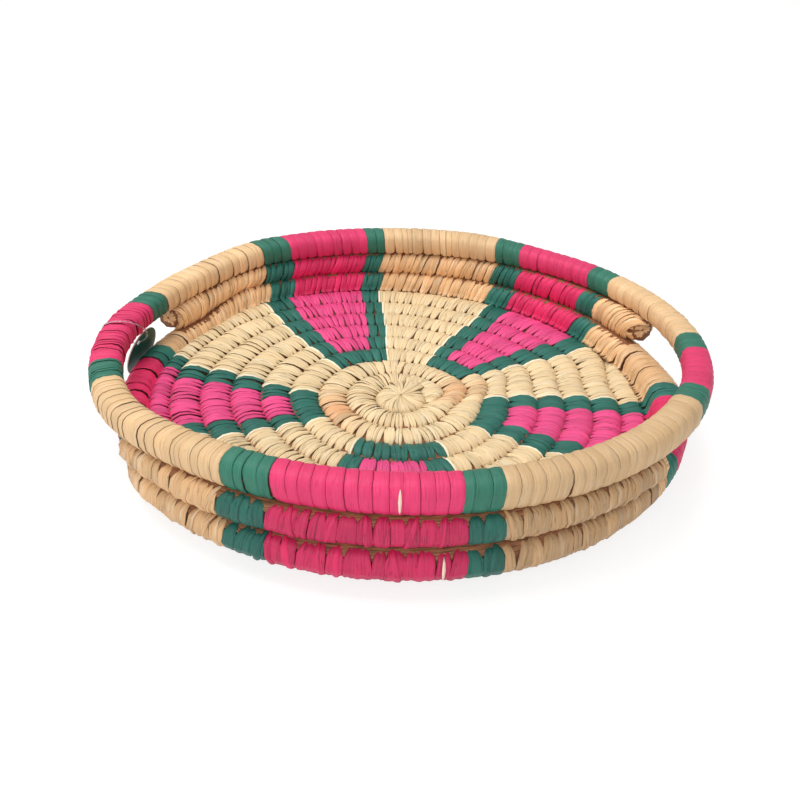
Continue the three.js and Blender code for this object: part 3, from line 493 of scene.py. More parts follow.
    def add_folds(self, points, x, y, rng, light_and_tone, creases):
        """Strips whose brightness and crease are drawn at random."""
        n = len(points)
        own = rng.uniform(0, 100, (n, 1, 1))
        strip_light_and_tone = light_and_tone + rng.normal(0, 0.05, (n, 1, 1))
        self.add_toned(points, x, y, own, strip_light_and_tone, 0.0, rng.choice(creases, (n, 1)))

    def build(self, name, material):
        """One mesh object of all the strips."""
        return new_object(name, np.concatenate(self.points), np.concatenate(self.faces), material,
                          {"leaf": np.concatenate(self.leaf), "tone": np.concatenate(self.tone)})


def places(row, start, end, pitch, rng, uneven=0.1):
    """Middles and half widths, in degrees, of the strips that fill a length of coil. Their
    shared edges wander by a share of the pitch, and the length's two ends stay put."""
    radius = COILS[row](np.array([(start + end) / 2]))[1][0]
    n = max(1, int(round(np.radians(end - start) * radius / pitch)))
    edges = np.linspace(start, end, n + 1)
    edges[1:-1] += rng.normal(0, uneven, n - 1) * (end - start) / n
    return (edges[1:] + edges[:-1]) / 2, np.diff(edges) / 2


def spiral(row, angle):
    """Degrees along the floor's coil of an angle on a row."""
    return TURN * (row - 1) + angle


def closed_surface(points, name, material, layers=None):
    """Mesh of a grid points[i, j] that closes in both directions, with its faces outwards."""
    n, k = points.shape[:2]
    i, j = np.meshgrid(np.arange(n), np.arange(k), indexing="ij")
    ni, nj = (i + 1) % n, (j + 1) % k
    faces = np.stack([i * k + j, ni * k + j, ni * k + nj, i * k + nj], axis=-1).reshape(-1, 4)
    a, b, c, d = points.reshape(-1, 3)[faces].transpose(1, 0, 2)
    if np.sum(a * (np.cross(b, c) + np.cross(c, d))) < 0:
        faces = faces[:, ::-1]
    return new_object(name, points.reshape(-1, 3), faces, material, layers or {})


def core_tube(leaf, row, start, end, step):
    """Straw bundle under the leaf: the coil's section drawn in and grooved by its stems, but
    full where it touches the next row, so that no light comes through. Between rows 10 and
    11 a ridge fills the space where row 11's leaf stands clear of row 10."""
    n = max(3, int(round((end - start) / step)) + 1)
    s = np.linspace(start, end, n)[:, None]
    t = np.arange(STRAW_SIDES)[None, :] * -TURN / STRAW_SIDES
    groove = 0.28 * np.cos(np.radians(t * STRAW_SIDES / 2))
    wave = 0.12 * np.sin(np.radians(s * 7.3 + t * 3))
    up, side = np.sin(np.radians(t)), np.cos(np.radians(t))
    full = {"floor": np.abs(side), "row10": np.maximum(up, 0), "row11": np.abs(up),
            "rim": np.maximum(-up, 0)}[row]
    closed = 1.0 if row == "floor" else 1.0 - in_hole(s)
    drawn_in = STRAW_SINK * (1 - 0.9 * full * closed)
    if row in ("row10", "row11"):
        over, under = coil_surface("row11", s, 0 * s - 90), coil_surface("row10", s, 0 * s + 90)
        towards = np.maximum(up if row == "row10" else -up, 0) ** 12
        drawn_in = drawn_in - (0.3 + 0.55 * np.maximum((over - under)[..., 2], 0)) * towards * closed
    points = coil_surface(row, s + 0 * t, t + 0 * s, groove + wave - drawn_in)
    along = np.radians(s) * np.linalg.norm(points[..., :2], axis=-1)
    sheet = np.stack([np.arange(STRAW_SIDES) * 3.1 + 0 * along, along, 0 * along], axis=-1)
    leaf.add_grid(points[None, ::-1], sheet[None, ::-1], np.array([1.0, 0, 0]))


def add_corner_strand(leaf):
    """Straw that fills the corner between the floor and row 10: an oval tube whose middle
    follows the floor's edge and sinks with row 10 at the left."""
    angle = np.linspace(0, TURN, 181)[:, None]
    a = wrapped(angle)
    b = np.radians(np.arange(12) * -30.0)[None, :]
    r = line_radius(np.full(a.shape, FLOOR_ROWS), a) + CORNER_OUT + CORNER_WIDE * np.cos(b)
    z = CORNER_Z - CORNER_DROP * eased(LEFT_SINK, a) + CORNER_TALL * np.sin(b)
    phi = np.radians(angle)
    points = np.stack([r * np.cos(phi), r * np.sin(phi), z], axis=-1)
    along = phi * 150 + 0 * b
    sheet = np.stack([b * 4 + 0 * along, along, 0 * along], axis=-1)
    leaf.add_grid(points[None], sheet[None], np.array([1.0, 0, 0]))


# ---- finishes

def linear(colour):
    """Linear value of a colour written as red, green and blue from 0 to 255."""
    c = np.array(colour) / 255.0
    return tuple(np.where(c <= 0.04045, c / 12.92, ((c + 0.055) / 1.055) ** 2.4).tolist())


def shaded(colour, factor):
    """A colour times one factor, or times one each for red, green and blue."""
    return tuple((np.array(colour[:]) * np.array(factor)).tolist())


class Finish:
    """The nodes of a material or of the world: each call adds one node and joins it up."""

    def __init__(self, owner, output="OutputMaterial"):
        owner.use_nodes = True
        self.owner, self.tree = owner, owner.node_tree
        self.tree.nodes.clear()
        self.output = self.node(output)

    def fill(self, socket, value):
        """A link from another node's output, or else a plain value."""
        if isinstance(value, bpy.types.NodeSocket):
            self.tree.links.new(value, socket)
        else:
            socket.default_value = value

    def node(self, kind, inputs=None, **settings):
        """A node of a kind, with its inputs and settings."""
        made = self.tree.nodes.new("ShaderNode" + kind)
        for key, value in settings.items():
            setattr(made, key, value)
        for key, value in (inputs or {}).items():
            self.fill(made.inputs[key], value)
        return made

    def blend(self, share, a, b):
        """Colour a where the share is 0 and b where it is 1."""
        mixed = self.node("Mix", data_type="RGBA")
        a, b = (x if isinstance(x, bpy.types.NodeSocket) else (*x, 1.0) for x in (a, b))
        for key, value in (("Factor_Float", share), ("A_Color", a), ("B_Color", b)):
            self.fill(next(x for x in mixed.inputs if x.identifier == key), value)
        return next(x for x in mixed.outputs if x.identifier == "Result_Color")

    def maths(self, how, a, b=0.0, clamp=False):
        """a and b, put together as how says."""
        return self.node("Math", {0: a, 1: b}, operation=how, use_clamp=clamp).outputs[0]

    def ramp(self, value, low, high, start=0.0, end=1.0):
        """start where the value is low, end where it is high, and straight between."""
        return self.node("MapRange", {"Value": value, "From Min": low, "From Max": high,
                                      "To Min": start, "To Max": end}).outputs[0]

    def noise(self, vector, scale, detail, rough):
        """Soft noise from 0 to 1."""
        return self.node("TexNoise", {"Vector": vector, "Scale": scale, "Detail": detail,
                                      "Roughness": rough}).outputs["Fac"]

    def stretch(self, vector, factors):
        """A vector times three factors."""
        return self.node("VectorMath", {0: vector, 1: factors}, operation="MULTIPLY").outputs[0]

    def carried(self, label):
        """A vector that the mesh carries."""
        return self.node("Attribute", attribute_name=label, attribute_type="GEOMETRY").outputs["Vector"]

    def here(self):
        """The place on the object, in metres."""
        return self.node("TexCoord").outputs["Object"]

    def parts(self, vector):
        """The three numbers of a vector."""
        return self.node("SeparateXYZ", {0: vector}).outputs

    def bump(self, height, strength, distance):
        """Relief of a height, as a bent normal."""
        return self.node("Bump", {"Height": height, "Strength": strength, "Distance": distance}).outputs[0]

    def close(self, shader):
        """Ends the nodes in a shader."""
        self.tree.links.new(shader, self.output.inputs["Surface"])
        return self.owner

    def principled(self, inputs):
        """Ends the nodes in a principled shader."""
        return self.close(self.node("BsdfPrincipled", inputs).outputs[0])


def new_finish(name):
    """The empty nodes of a new material."""
    return Finish(bpy.data.materials.new(name))


def leaf_finish(name, colour, dark, pale, wear, blush, bleached, streaks, shade_line_depth):
    """Dried leaf: fibres run along the strip as fine paler and darker streaks, over a slow mottle;
    the edges, sharp creases and pleats are darkened as painted shade where strips meet and fold,
    partly the leaf's own darker edges, and dyed leaf is rubbed pale along some fibres."""
    f = new_finish(name)
    strip, here = f.carried("leaf"), f.here()
    light_and_tone, stain, edge = f.parts(f.carried("tone"))
    fine = f.stretch(strip, (2.6, 0.1, 1.0))
    fibre = f.noise(fine, 1.0, 4.0, 0.65)
    bands = f.noise(f.stretch(strip, (0.7, 0.05, 1.0)), 1.0, 2.0, 0.5)
    mottle = f.noise(here, 60.0, 3.0, 0.5)
    shade = f.maths("ADD", f.maths("MULTIPLY", f.ramp(fibre, 0.3, 0.7), 0.55),
                    f.maths("MULTIPLY", bands, 0.45))
    shade = f.maths("MULTIPLY", f.maths("ADD", shade, f.maths("MULTIPLY", mottle, 0.35)), 0.8, clamp=True)
    body = f.blend(f.maths("MAXIMUM", stain, 0.0), f.blend(shade, dark, colour), blush)
    fold = f.noise(f.stretch(strip, (0.8, 0.03, 1.7)), 1.0, 1.0, 0.4)
    # painted shade: dark lines along the creases of the pleats, which also dip the bump
    pleat_shade = f.ramp(f.maths("ABSOLUTE", f.maths("SUBTRACT", fold, 0.5)), 0.0, 0.022, 0.55 * streaks, 0.0)
    if wear:
        rub = f.maths("MULTIPLY", f.ramp(f.noise(fine, 1.7, 5.0, 0.7), 0.6, 0.74),
                      f.ramp(f.noise(here, 45.0, 2.0, 0.5), 0.42, 0.62))
        rub = f.maths("MULTIPLY", rub, wear, clamp=True)
    else:
        rub = f.maths("MULTIPLY", f.ramp(bands, 0.55, 0.75), 0.5 * streaks, clamp=True)
    body = f.blend(f.ramp(stain, -1.0, 0.0, 1.0, 0.0), f.blend(rub, body, pale), bleached)
    lit = f.node("HueSaturation", {"Color": body, "Value": light_and_tone}).outputs[0]
    # painted shade: edges, sharp creases and pleats go towards a sixth of the darker shade, nearly black
    line = f.maths("MAXIMUM", f.ramp(edge, 0.8, 0.98, 0.0, shade_line_depth), pleat_shade)
    height = f.maths("ADD", f.maths("MULTIPLY", fibre, 0.7), f.maths("MULTIPLY", bands, 0.6))
    height = f.maths("SUBTRACT", height, f.maths("MULTIPLY", pleat_shade, 1.2))
    return f.principled({"Base Color": f.blend(line, lit, shaded(dark, 0.16)),
                         "Roughness": f.ramp(fibre, 0.3, 0.7, 0.62, 0.44),
                         "Normal": f.bump(height, 0.5, 0.0006), "Specular IOR Level": 0.4})


def straw_finish(name, colour, dark):
    """Dry grass stems: streaks along the coil, the darkest partly painted shade of the gaps where the straw
    shows.
    """
    f = new_finish(name)
    stems = f.noise(f.stretch(f.carried("leaf"), (1.3, 0.12, 1.0)), 1.0, 4.0, 0.6)
    return f.principled({"Base Color": f.blend(f.ramp(stems, 0.32, 0.68), dark, colour), "Roughness": 0.7,
                         "Normal": f.bump(stems, 0.6, 0.0007), "Specular IOR Level": 0.3})


def card_finish(name, colour, edge):
    """Coated card: dark face, pale cut edge and back, told apart by the attribute."""
    f = new_finish(name)
    here, side = f.here(), f.parts(f.carried("leaf"))[2]
    face = f.blend(f.ramp(f.noise(here, 120.0, 3.0, 0.5), 0.3, 0.7), shaded(colour, 0.85), colour)
    return f.principled({"Base Color": f.blend(f.ramp(side, 0.4, 0.6), face, edge), "Roughness": 0.42,
                         "Normal": f.bump(f.noise(here, 900.0, 2.0, 0.5), 0.15, 0.0001)})


def nylon_finish(name, colour):
    """Clear drawn nylon, faintly streaked."""
    f = new_finish(name)
    streak = f.noise(f.here(), 700.0, 2.0, 0.5)
    return f.principled({"Base Color": f.blend(f.ramp(streak, 0.3, 0.7), shaded(colour, 0.9), colour),
                         "Roughness": f.ramp(streak, 0.3, 0.7, 0.18, 0.32), "IOR": 1.53,
                         "Transmission Weight": 0.85})


GREEN_SHADE, MAGENTA_SHADE, NATURAL_SHADE = (0.42, 0.5, 0.55), (0.66, 0.55, 0.58), (0.8, 0.68, 0.52)

# Each leaf slot: its colour's name, the darker shade of its fibres and how much it is rubbed
LEAF_SLOTS = {
    "leaf_centre": ("floor_natural", NATURAL_SHADE, 0.0),
    "leaf_natural_floor": ("floor_natural", NATURAL_SHADE, 0.0),
    "leaf_natural_wall": ("wall_natural", NATURAL_SHADE, 0.0),
    "leaf_natural_rim": ("rim_natural", NATURAL_SHADE, 0.0),
    "leaf_green": ("green", GREEN_SHADE, 0.55),
    "leaf_green_rim": ("rim_green", GREEN_SHADE, 0.6),
    "leaf_magenta_floor": ("floor_magenta", MAGENTA_SHADE, 0.3),
    "leaf_magenta_wall": ("wall_magenta", MAGENTA_SHADE, 0.3),
    "leaf_magenta_rim": ("rim_magenta", MAGENTA_SHADE, 0.35),
}

# How streaky the leaf is and how dark the painted shade at its edges and creases is, on the rim, in the centre
# and elsewhere
STREAKS_AND_SHADE_LINES = {"rim": (0.45, 0.75), "centre": (1.0, 1.1), "other": (1.0, 0.9)}


def finish_for(slot_name):
    """The leaf finish of a material slot, made once."""
    name = "tray_" + slot_name
    if name in bpy.data.materials:
        return bpy.data.materials[name]
    c = bpy.context.scene.tray_colours
    colour_name, shade, wear = LEAF_SLOTS[slot_name]
    colour = getattr(c, colour_name)[:]
    part = slot_name.split("_")[-1]
    blush = c.tan if part == "centre" else c.blush
    return leaf_finish(name, colour, shaded(colour, shade), shaded(c.pale, 0.5 if wear else 1.0), wear,
                       blush[:], c.pale[:], *STREAKS_AND_SHADE_LINES.get(part, STREAKS_AND_SHADE_LINES["other"]))


def dress(leaf, node, slot_name):
    """Puts a finished piece of leaf in a CAD node's place."""
    piece = leaf.build("leaf_" + node, finish_for(slot_name))
    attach(piece, "tray")
    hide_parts(node)


def seeded(text):
    """Random numbers that are the same on every run for one piece."""
    return np.random.default_rng(sum((i + 1) * ord(ch) for i, ch in enumerate(text)))


# ---- sizes and colours that a user would change

def length(label, about, value):
    """A length in metres."""
    return FloatProperty(name=label, description=about, default=value, unit="LENGTH", subtype="DISTANCE",
                         min=0.0001, precision=4)


def colour(label, about, value):
    """A colour, written from 0 to 255."""
    return FloatVectorProperty(name=label, description=about, default=linear(value), subtype="COLOR",
                               min=0.0, max=1.0)


class TraySizes(PropertyGroup):
    """Sizes of the leaf strips, the tag and the stage, in metres."""
    floor_strip: length("Floor strip", "Width of one leaf wrap on the floor", 0.0050)
    centre_strip: length("Centre strip", "Width of one leaf wrap in the centre coil", 0.0044)
    row10_inside_strip: length("Lowest wall row, inside", "Width of one wrap inside row 10", 0.0042)
    row11_inside_strip: length("Middle wall row, inside", "Width of one wrap inside row 11", 0.0046)
    outside_strip: length("Wall strip, outside", "Width of one wrap on the outer wall", 0.0072)
    rim_strip: length("Rim strip", "Width of one wrap on the rim", 0.0066)
    grip_strip: length("Grip strip", "Width of one wrap on the grips", 0.0037)
    tag_radius: length("Tag radius", "Radius of the card disc", 0.016)
    tag_thickness: length("Tag thickness", "Thickness of the card", 0.0008)
    loop_wire: length("Nylon radius", "Radius of the nylon wire", 0.00035)
    stage_size: length("Stage size", "Side of the pale floor", 8.0)


class TrayColours(PropertyGroup):
    """Colours of the leaf, straw, card, nylon and stage."""
    # The natural and magenta leaf each have a floor, a wall and a rim colour, and the green leaf a second one
    # for the rim: partly painted light, the floor and rim lighter than the wall as they take more light from
    # above, and partly a real difference of hue
    floor_natural: colour("Natural, floor", "Undyed leaf of the floor", (246, 225, 184))
    wall_natural: colour("Natural, wall", "Undyed leaf of the wall rows", (236, 196, 150))
    rim_natural: colour("Natural, rim", "Undyed leaf of the rim", (240, 206, 162))
    green: colour("Green", "Green leaf", (44, 122, 106))
    rim_green: colour("Green, rim", "Green leaf of the rim", (58, 134, 110))
    floor_magenta: colour("Magenta, floor", "Magenta leaf of the floor", (253, 86, 152))
    wall_magenta: colour("Magenta, wall", "Magenta leaf of the wall rows", (233, 48, 108))
    rim_magenta: colour("Magenta, rim", "Magenta leaf of the rim", (246, 62, 122))
    pale: colour("Pale fibre", "Bleached or rubbed fibre", (250, 240, 214))
    blush: colour("Blush", "Strips stained by the dye", (238, 150, 130))
    tan: colour("Tan", "Browned strips round the start knot", (222, 146, 92))
    straw: colour("Straw", "Stems of the straw core", (178, 120, 84))
    card: colour("Card", "Face of the hang tag", (27, 88, 72))
    card_edge: colour("Card edge", "Edge and back of the hang tag", (226, 222, 208))
    nylon: colour("Nylon", "Clear nylon wire", (224, 230, 234))
    stage: colour("Stage", "Floor under the tray", (246, 246, 246))


# ---- the pieces

class TRAY_OT_straw_core(Operator):
    """Make the straw bundle that shows between the wraps"""
    bl_idname = "tray.straw_core"
    bl_label = "Straw core"

    def execute(self, context):
        c = context.scene.tray_colours
        # the straw's dark streaks, about a fifth of its colour, are partly painted shade of the gaps between
        # the wraps
        straw = straw_finish("tray_straw", c.straw[:], shaded(c.straw, 0.22))
        lengths = {  # each length's row, ends and step, in degrees
            "straw_floor": [("floor", COIL_START, spiral(FLOOR_ROWS, ROW9_END), 4.0)],
            "straw_row10": [("row10", 0.0, TURN, 2.5)],
            "straw_row11": [
                ("row11", RIGHT_OPENING[1] + STRAW_SHORT, TURN + LEFT_OPENING[0] - STRAW_SHORT, 2.5),
                ("row11", LEFT_OPENING[1] + STRAW_SHORT, RIGHT_OPENING[0] - STRAW_SHORT, 2.5)],
            "straw_rim": [("rim", 0.0, TURN, 2.5)],
        }
        for name, parts in lengths.items():
            leaf = Leaf()
            for row, start, end, step in parts:
                core_tube(leaf, row, start, end, step)
            if name == "straw_row10":
                add_corner_strand(leaf)
            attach(leaf.build(name, straw), "tray")
        return {"FINISHED"}


def floor_runs():
    """Every length of one colour on floor rows 4 to 9, as node, slot, row and two angles."""
    looks = (("green", "leaf_green"), ("magenta", "leaf_magenta_floor"), ("green", "leaf_green"))
    runs = []
    for i, petal in enumerate(PETAL_ORDER):
        following = PETALS[PETAL_ORDER[(i + 1) % 5]]
        for k, edges in enumerate(PETALS[petal]):
            row = CENTRE_ROWS + 1 + k
            for (shade, slot_name), start, end in zip(looks, edges, edges[1:]):
                runs.append((f"floor_{shade}_{petal}", slot_name, row, start, end))
            if petal != PETAL_ORDER[-1]:
                end = following[k][0]
            else:
                end = TURN + following[k + 1][0] if row < FLOOR_ROWS else ROW9_END
            runs.append(("floor_natural_" + NATURAL_AFTER[petal], "leaf_natural_floor", row, edges[-1], end))
    return runs


def add_floor_length(leaf, start, end, pitch, rng, stains=None, **look):
    """Wraps of a length of the floor's coil, above and below."""
    centres, halves = places("floor", start, end, pitch, rng)
    blush = 0.0 if stains is None else stains(centres) * rng.uniform(0.5, 1.0, len(centres))
    leaf.add_strips("floor", "floor_top", centres, halves, rng, blush=blush, shingle=0.24,
                    jitter=1.25, **look)
    leaf.add_strips("floor", "floor_under", centres, halves, rng, kind="flat", blush=blush, creased=0.3)


def add_pale_edges(leaf, start, end, rng):
    """The bleached edge of the strip that borders a dyed length, a narrow raised strip at
    each end of a natural length."""
    half = np.degrees(1.0 / floor_coil(np.array([(start + end) / 2]))[1][0])
    leaf.add_strips("floor", "floor_top", [start + half * 0.6, end - half * 0.6], half, rng, kind="flat",
                    jitter=0.3, light_and_tone=1.1, spread=0.02, blush=-0.85, raised=0.3, creased=0.0, widen=0.7)


class TRAY_OT_centre_leaf(Operator):
    """Wrap the start knot and the rows round it"""
    bl_idname = "tray.centre_leaf"
    bl_label = "Centre leaf"

    def execute(self, context):
        pitch = context.scene.tray_sizes.centre_strip / MM
        leaf, knot = Leaf(), Leaf()
        end = spiral(CENTRE_ROWS + 1, PETALS["back_right"][0][0])
        add_floor_length(leaf, LEAF_START, end, pitch, seeded("centre_coil"),
                         stains=centre_stains, widen=0.93)
        dress(leaf, "centre_coil", "leaf_centre")
        add_knot(knot, seeded("start_knot"))
        dress(knot, "start_knot", "leaf_centre")
        return {"FINISHED"}


def centre_stains(s):
    """How much dye has run into a strip of the centre coil: row 3 at the left and rows 2
    and 3 at the right."""
    left = np.exp(-((s - spiral(3, 205)) / 26) ** 2)
    right = np.exp(-((s - spiral(2, 378)) / 22) ** 2) + 0.5 * np.exp(-((s - spiral(3, 375)) / 14) ** 2)
    return 0.75 * left + 0.85 * right


KNOT_RUNS_ON = 66.0     # direction in which the knot's strips run on over the first row


def add_knot(leaf, rng):
    """Leaf fan of the start knot. Strip i runs out from the middle at its own angle, over a
    low dome and down the knot's side, with its reach and height from a table; near one
    direction the strips run on over the first row. A second, lower fan lies beneath."""
    edge = line_radius(np.array([0]), np.array([90.0]))[0]
    for n, drop, turn in ((16, 0.0, 0.0), (15, 0.8, 9.0)):
        angle = turn + np.arange(n) * TURN / n + rng.normal(0, 3.0, n)
        long = np.exp(-((wrapped(angle) - KNOT_RUNS_ON) / 34) ** 2)[:, None] * (drop == 0)
        rho = edge * np.array([0.05, 0.3, 0.55, 0.76, 0.9, 0.985, 1.0, 0.94])
        z = FLOOR_THICKNESS * np.array([1.02, 1.03, 1.02, 0.98, 0.92, 0.8, 0.6, 0.3]) - drop
        far = edge * np.array([0.05, 0.34, 0.66, 0.92, 1.14, 1.34, 1.5, 1.58])
        high = FLOOR_THICKNESS * np.array([1.02, 1.04, 1.06, 1.07, 1.06, 1.04, 1.0, 0.9]) + 0.5
        rho, z = rho + (far - rho) * long, z + (high - z) * long
        m = rho.shape[1]
        half = (TURN / n / 2) * (1.15 + rng.normal(0, 0.12, (n, 1)))
        half = half * np.array([2.2, 1.3, 1.1, 1, 1, 0.95, 0.8, 0.6])
        swirl = np.linspace(0, 20, m) * (1 - 0.4 * long) + rng.normal(0, 2.5, (n, 1))
        phi = np.radians((angle[:, None] + swirl)[:, :, None] + half[:, :, None] * ACROSS)
        tall = HEIGHTS["folded"] + rng.normal(0, 0.16, (n, 1, 1)) + rng.normal(0, 0.25, (n, 1, 1)) * ACROSS
        long = long[:, :, None]
        lean_out = np.array([0, 0, 0.1, 0.25, 0.5, 0.8, 1, 0.8])[None, :, None]
        lean_up = np.array([1, 1, 1, 0.97, 0.86, 0.6, 0.2, 0])[None, :, None]
        r = rho[:, :, None] + tall * lean_out * (1 - long)
        up = z[:, :, None] + tall * (lean_up + (1 - lean_up) * long)
        points = np.stack([r * np.cos(phi), r * np.sin(phi), np.maximum(up, TABLE_GAP)], axis=-1)
        x = half[:, :, None] * np.radians(1) * rho[:, :, None] * ACROSS
        leaf.add_folds(points, x, np.linspace(0, 24, m)[None, :, None], rng, 1.0, [0.2, 0.95])


class TRAY_OT_floor_leaf(Operator):
    """Wrap floor rows 4 to 9 in natural, green and magenta leaf"""
    bl_idname = "tray.floor_leaf"
    bl_label = "Floor leaf"

    def execute(self, context):
        pitch = context.scene.tray_sizes.floor_strip / MM
        pieces = {}
        for node, slot_name, row, start, end in floor_runs():
            leaf, _, rng = pieces.setdefault(node, (Leaf(), slot_name, seeded(node)))
            start, end = spiral(row, start), spiral(row, end)
            dyed = slot_name != "leaf_natural_floor"
            if not dyed and (row < FLOOR_ROWS or node != "floor_natural_right_rear"):
                add_pale_edges(leaf, start, end, rng)
            fine = pitch * (0.8 if slot_name == "leaf_magenta_floor" else 1.0)
            add_floor_length(leaf, start, end, fine, rng, spread=0.07 if dyed else 0.04,
                             creased=0.75 if dyed else 0.9)
        for node, (leaf, slot_name, _) in pieces.items():
            dress(leaf, node, slot_name)
        return {"FINISHED"}


def wall_runs(row):
    """Every length of one colour on a wall row, as node, slot and two angles. Row 11 stops
    at the hand holes."""
    kind = "rim" if row == "rim" else "wall"
    green = "leaf_green_rim" if row == "rim" else "leaf_green"
    looks = (("green", "_cw", green), ("magenta", "", "leaf_magenta_" + kind), ("green", "_ccw", green))
    stop_before, stop_after = {}, {}
    if row == "row11":
        stop_before = {"back_left": LEFT_OPENING[0], "front": RIGHT_OPENING[0]}
        stop_after = {"left": LEFT_OPENING[1], "right": RIGHT_OPENING[1]}
    runs = []
    for i, petal in enumerate(PETAL_ORDER):
        edges = WALL_PETALS[petal].get(row, [])
        following = WALL_PETALS[PETAL_ORDER[(i + 1) % 5]].get(row)
        for (shade, side, slot_name), start, end in zip(looks, edges, edges[1:]):
            runs.append((f"{kind}_{shade}_{petal}{side}", slot_name, start, end))
        start = stub_cut(stop_after[petal], -1) if petal in stop_after else edges[3]
        if petal in stop_before:
            end = stub_cut(stop_before[petal], 1)
        else:
            end = following[0] + (TURN if petal == PETAL_ORDER[-1] else 0)
        runs.append((f"{kind}_natural_{NATURAL_AFTER[petal]}", "leaf_natural_" + kind, start, end))
    return runs


def add_outer_wraps(leaf, row, start, end, pitch, rng, light_and_tone):
    """Wraps on the outside of the wall. Each is a flat strip with a narrow top, and about
    two in five are crossed by a narrower fold that leans its own way."""
    centres, halves = places(row, start, end, pitch, rng, 0.12)
    leaf.add_strips(row, row + "_out", centres, halves, rng, kind="folded", jitter=1.3, light_and_tone=light_and_tone,
                    creased=0.5, spread=0.08)
    crossed = rng.random(len(centres)) < 0.42
    lean = rng.choice([-1.0, 1.0], len(centres)) * rng.uniform(5, 13, len(centres))
    fold = centres + halves * rng.uniform(-0.25, 0.25, len(centres))
    leaf.add_strips(row, row + "_out", fold[crossed], halves[crossed] * 0.42, rng, kind="plump",
                    light_and_tone=light_and_tone * 1.04, creased=0.2, spread=0.08, raised=0.38, turned=lean[crossed])


def add_sliver(leaf, row, angle, raised, rng):
    """A narrow pale shred of leaf on the outside of a row."""
    leaf.add_strips(row, "sliver", [angle], [0.32], rng, kind="flat", jitter=0.1, creased=0.0, blush=-0.8,
                    raised=raised)


def stub_cut(angle, away):
    """Where the wraps of a stub end and the leaf folded over its end begins."""
    return angle - away * np.degrees(STUB_DEPTH / COILS["row11"](np.array([angle]))[1][0])


def add_stub(leaf, angle, away, rng, folds=11):
    """Leaf folded over the blunt end of row 11. Along a fold the coil's section shrinks as
    cos p while it moves out by depth × sin p, and the fold covers a share of the section."""
    cut = stub_cut(angle, away)
    back = cut - away * 1.1
    p = np.radians([0.0, 0.0, 28.0, 52.0, 70.0, 84.0])
    s = np.array([back, cut, cut, cut, cut, cut])
    middle = np.arange(folds) * TURN / folds + rng.normal(0, 5, folds)
    half = TURN / folds / 2 * (1.12 + np.abs(rng.normal(0, 0.12, folds)))
    spread = np.array([1.1, 1.05, 1, 1, 1.1, 1.3])[None, :, None]
    t = middle[:, None, None] + half[:, None, None] * ACROSS * spread
    tall = HEIGHTS["folded"] * 1.3 + rng.normal(0, 0.2, (folds, 1, 1))
    tall = tall + rng.normal(0, 0.2, (folds, 1, 1)) * ACROSS
    ring = coil_surface("row11", s[None, :, None] + 0 * t, t, tall)
    _, r, z, _, _ = COILS["row11"](s)
    phi = np.radians(s)
    heart = np.stack([r * np.cos(phi), r * np.sin(phi), z], axis=-1)[None, :, None, :]
    along = away * np.array([-np.sin(np.radians(cut)), np.cos(np.radians(cut)), 0.0])
    shrink, out = np.cos(p)[None, :, None, None], np.sin(p)[None, :, None, None]
    points = heart + (ring - heart) * shrink + along * out * (STUB_DEPTH - 0.5 + tall[..., None] * 0.6)
    x = half[:, None, None] * 0.14 * ACROSS * np.cos(p)[None, :, None]
    y = np.array([0, 3, 6, 9, 11, 13.0])[None, :, None]
    way = slice(None, None, -1 if away < 0 else 1)
    leaf.add_folds(points[:, way], x[:, way], y[:, way], rng, 1.02, [0.2, 0.9])


def add_slant_pleats(leaf, angle, away, rng):
    """Narrow pleats that slant over the inside of row 11 beside a stub and down on row 10."""
    n = 7
    centres = angle - away * np.linspace(1.6, 9.5, n)
    turned = away * np.linspace(26, 8, n)
    leaf.add_strips("row11", "row11_in", centres, 0.62, rng, kind="folded", jitter=1.2,
                    creased=0.9, light_and_tone=1.22, spread=0.06, raised=1.0, turned=turned)


def in_hole(angle):
    """True inside the angles of the two hand holes."""
    a = wrapped(angle)
    b = past_right_hole(a)
    return (((a > LEFT_OPENING[0]) & (a < LEFT_OPENING[1]))
            | ((b > RIGHT_OPENING[0]) & (b < RIGHT_OPENING[1])))


def split_at_holes(start, end):
    """A length cut where it enters and leaves a hand hole, with whether each part is in one."""
    cuts = [a for a in (*LEFT_OPENING, *RIGHT_OPENING) if start + 0.5 < a < end - 0.5]
    marks = [start, *cuts, end]
    return [(a, b, bool(in_hole((a + b) / 2))) for a, b in zip(marks, marks[1:])]


RIGHT_SIDE = 348.0      # direction of the tray's right side


def hole_pitch(slot_name, angle):
    """Width in millimetres of the close wraps of row 10 under a hand hole: broad at the
    left, very fine on the natural leaf at the right."""
    right = np.cos(np.radians(angle - RIGHT_SIDE)) > 0.5     # within 60 degrees
    if slot_name == "leaf_natural_wall":
        return 2.9 if right else 5.0
    return (4.2 if slot_name == "leaf_green" else 6.5) if right else 8.5


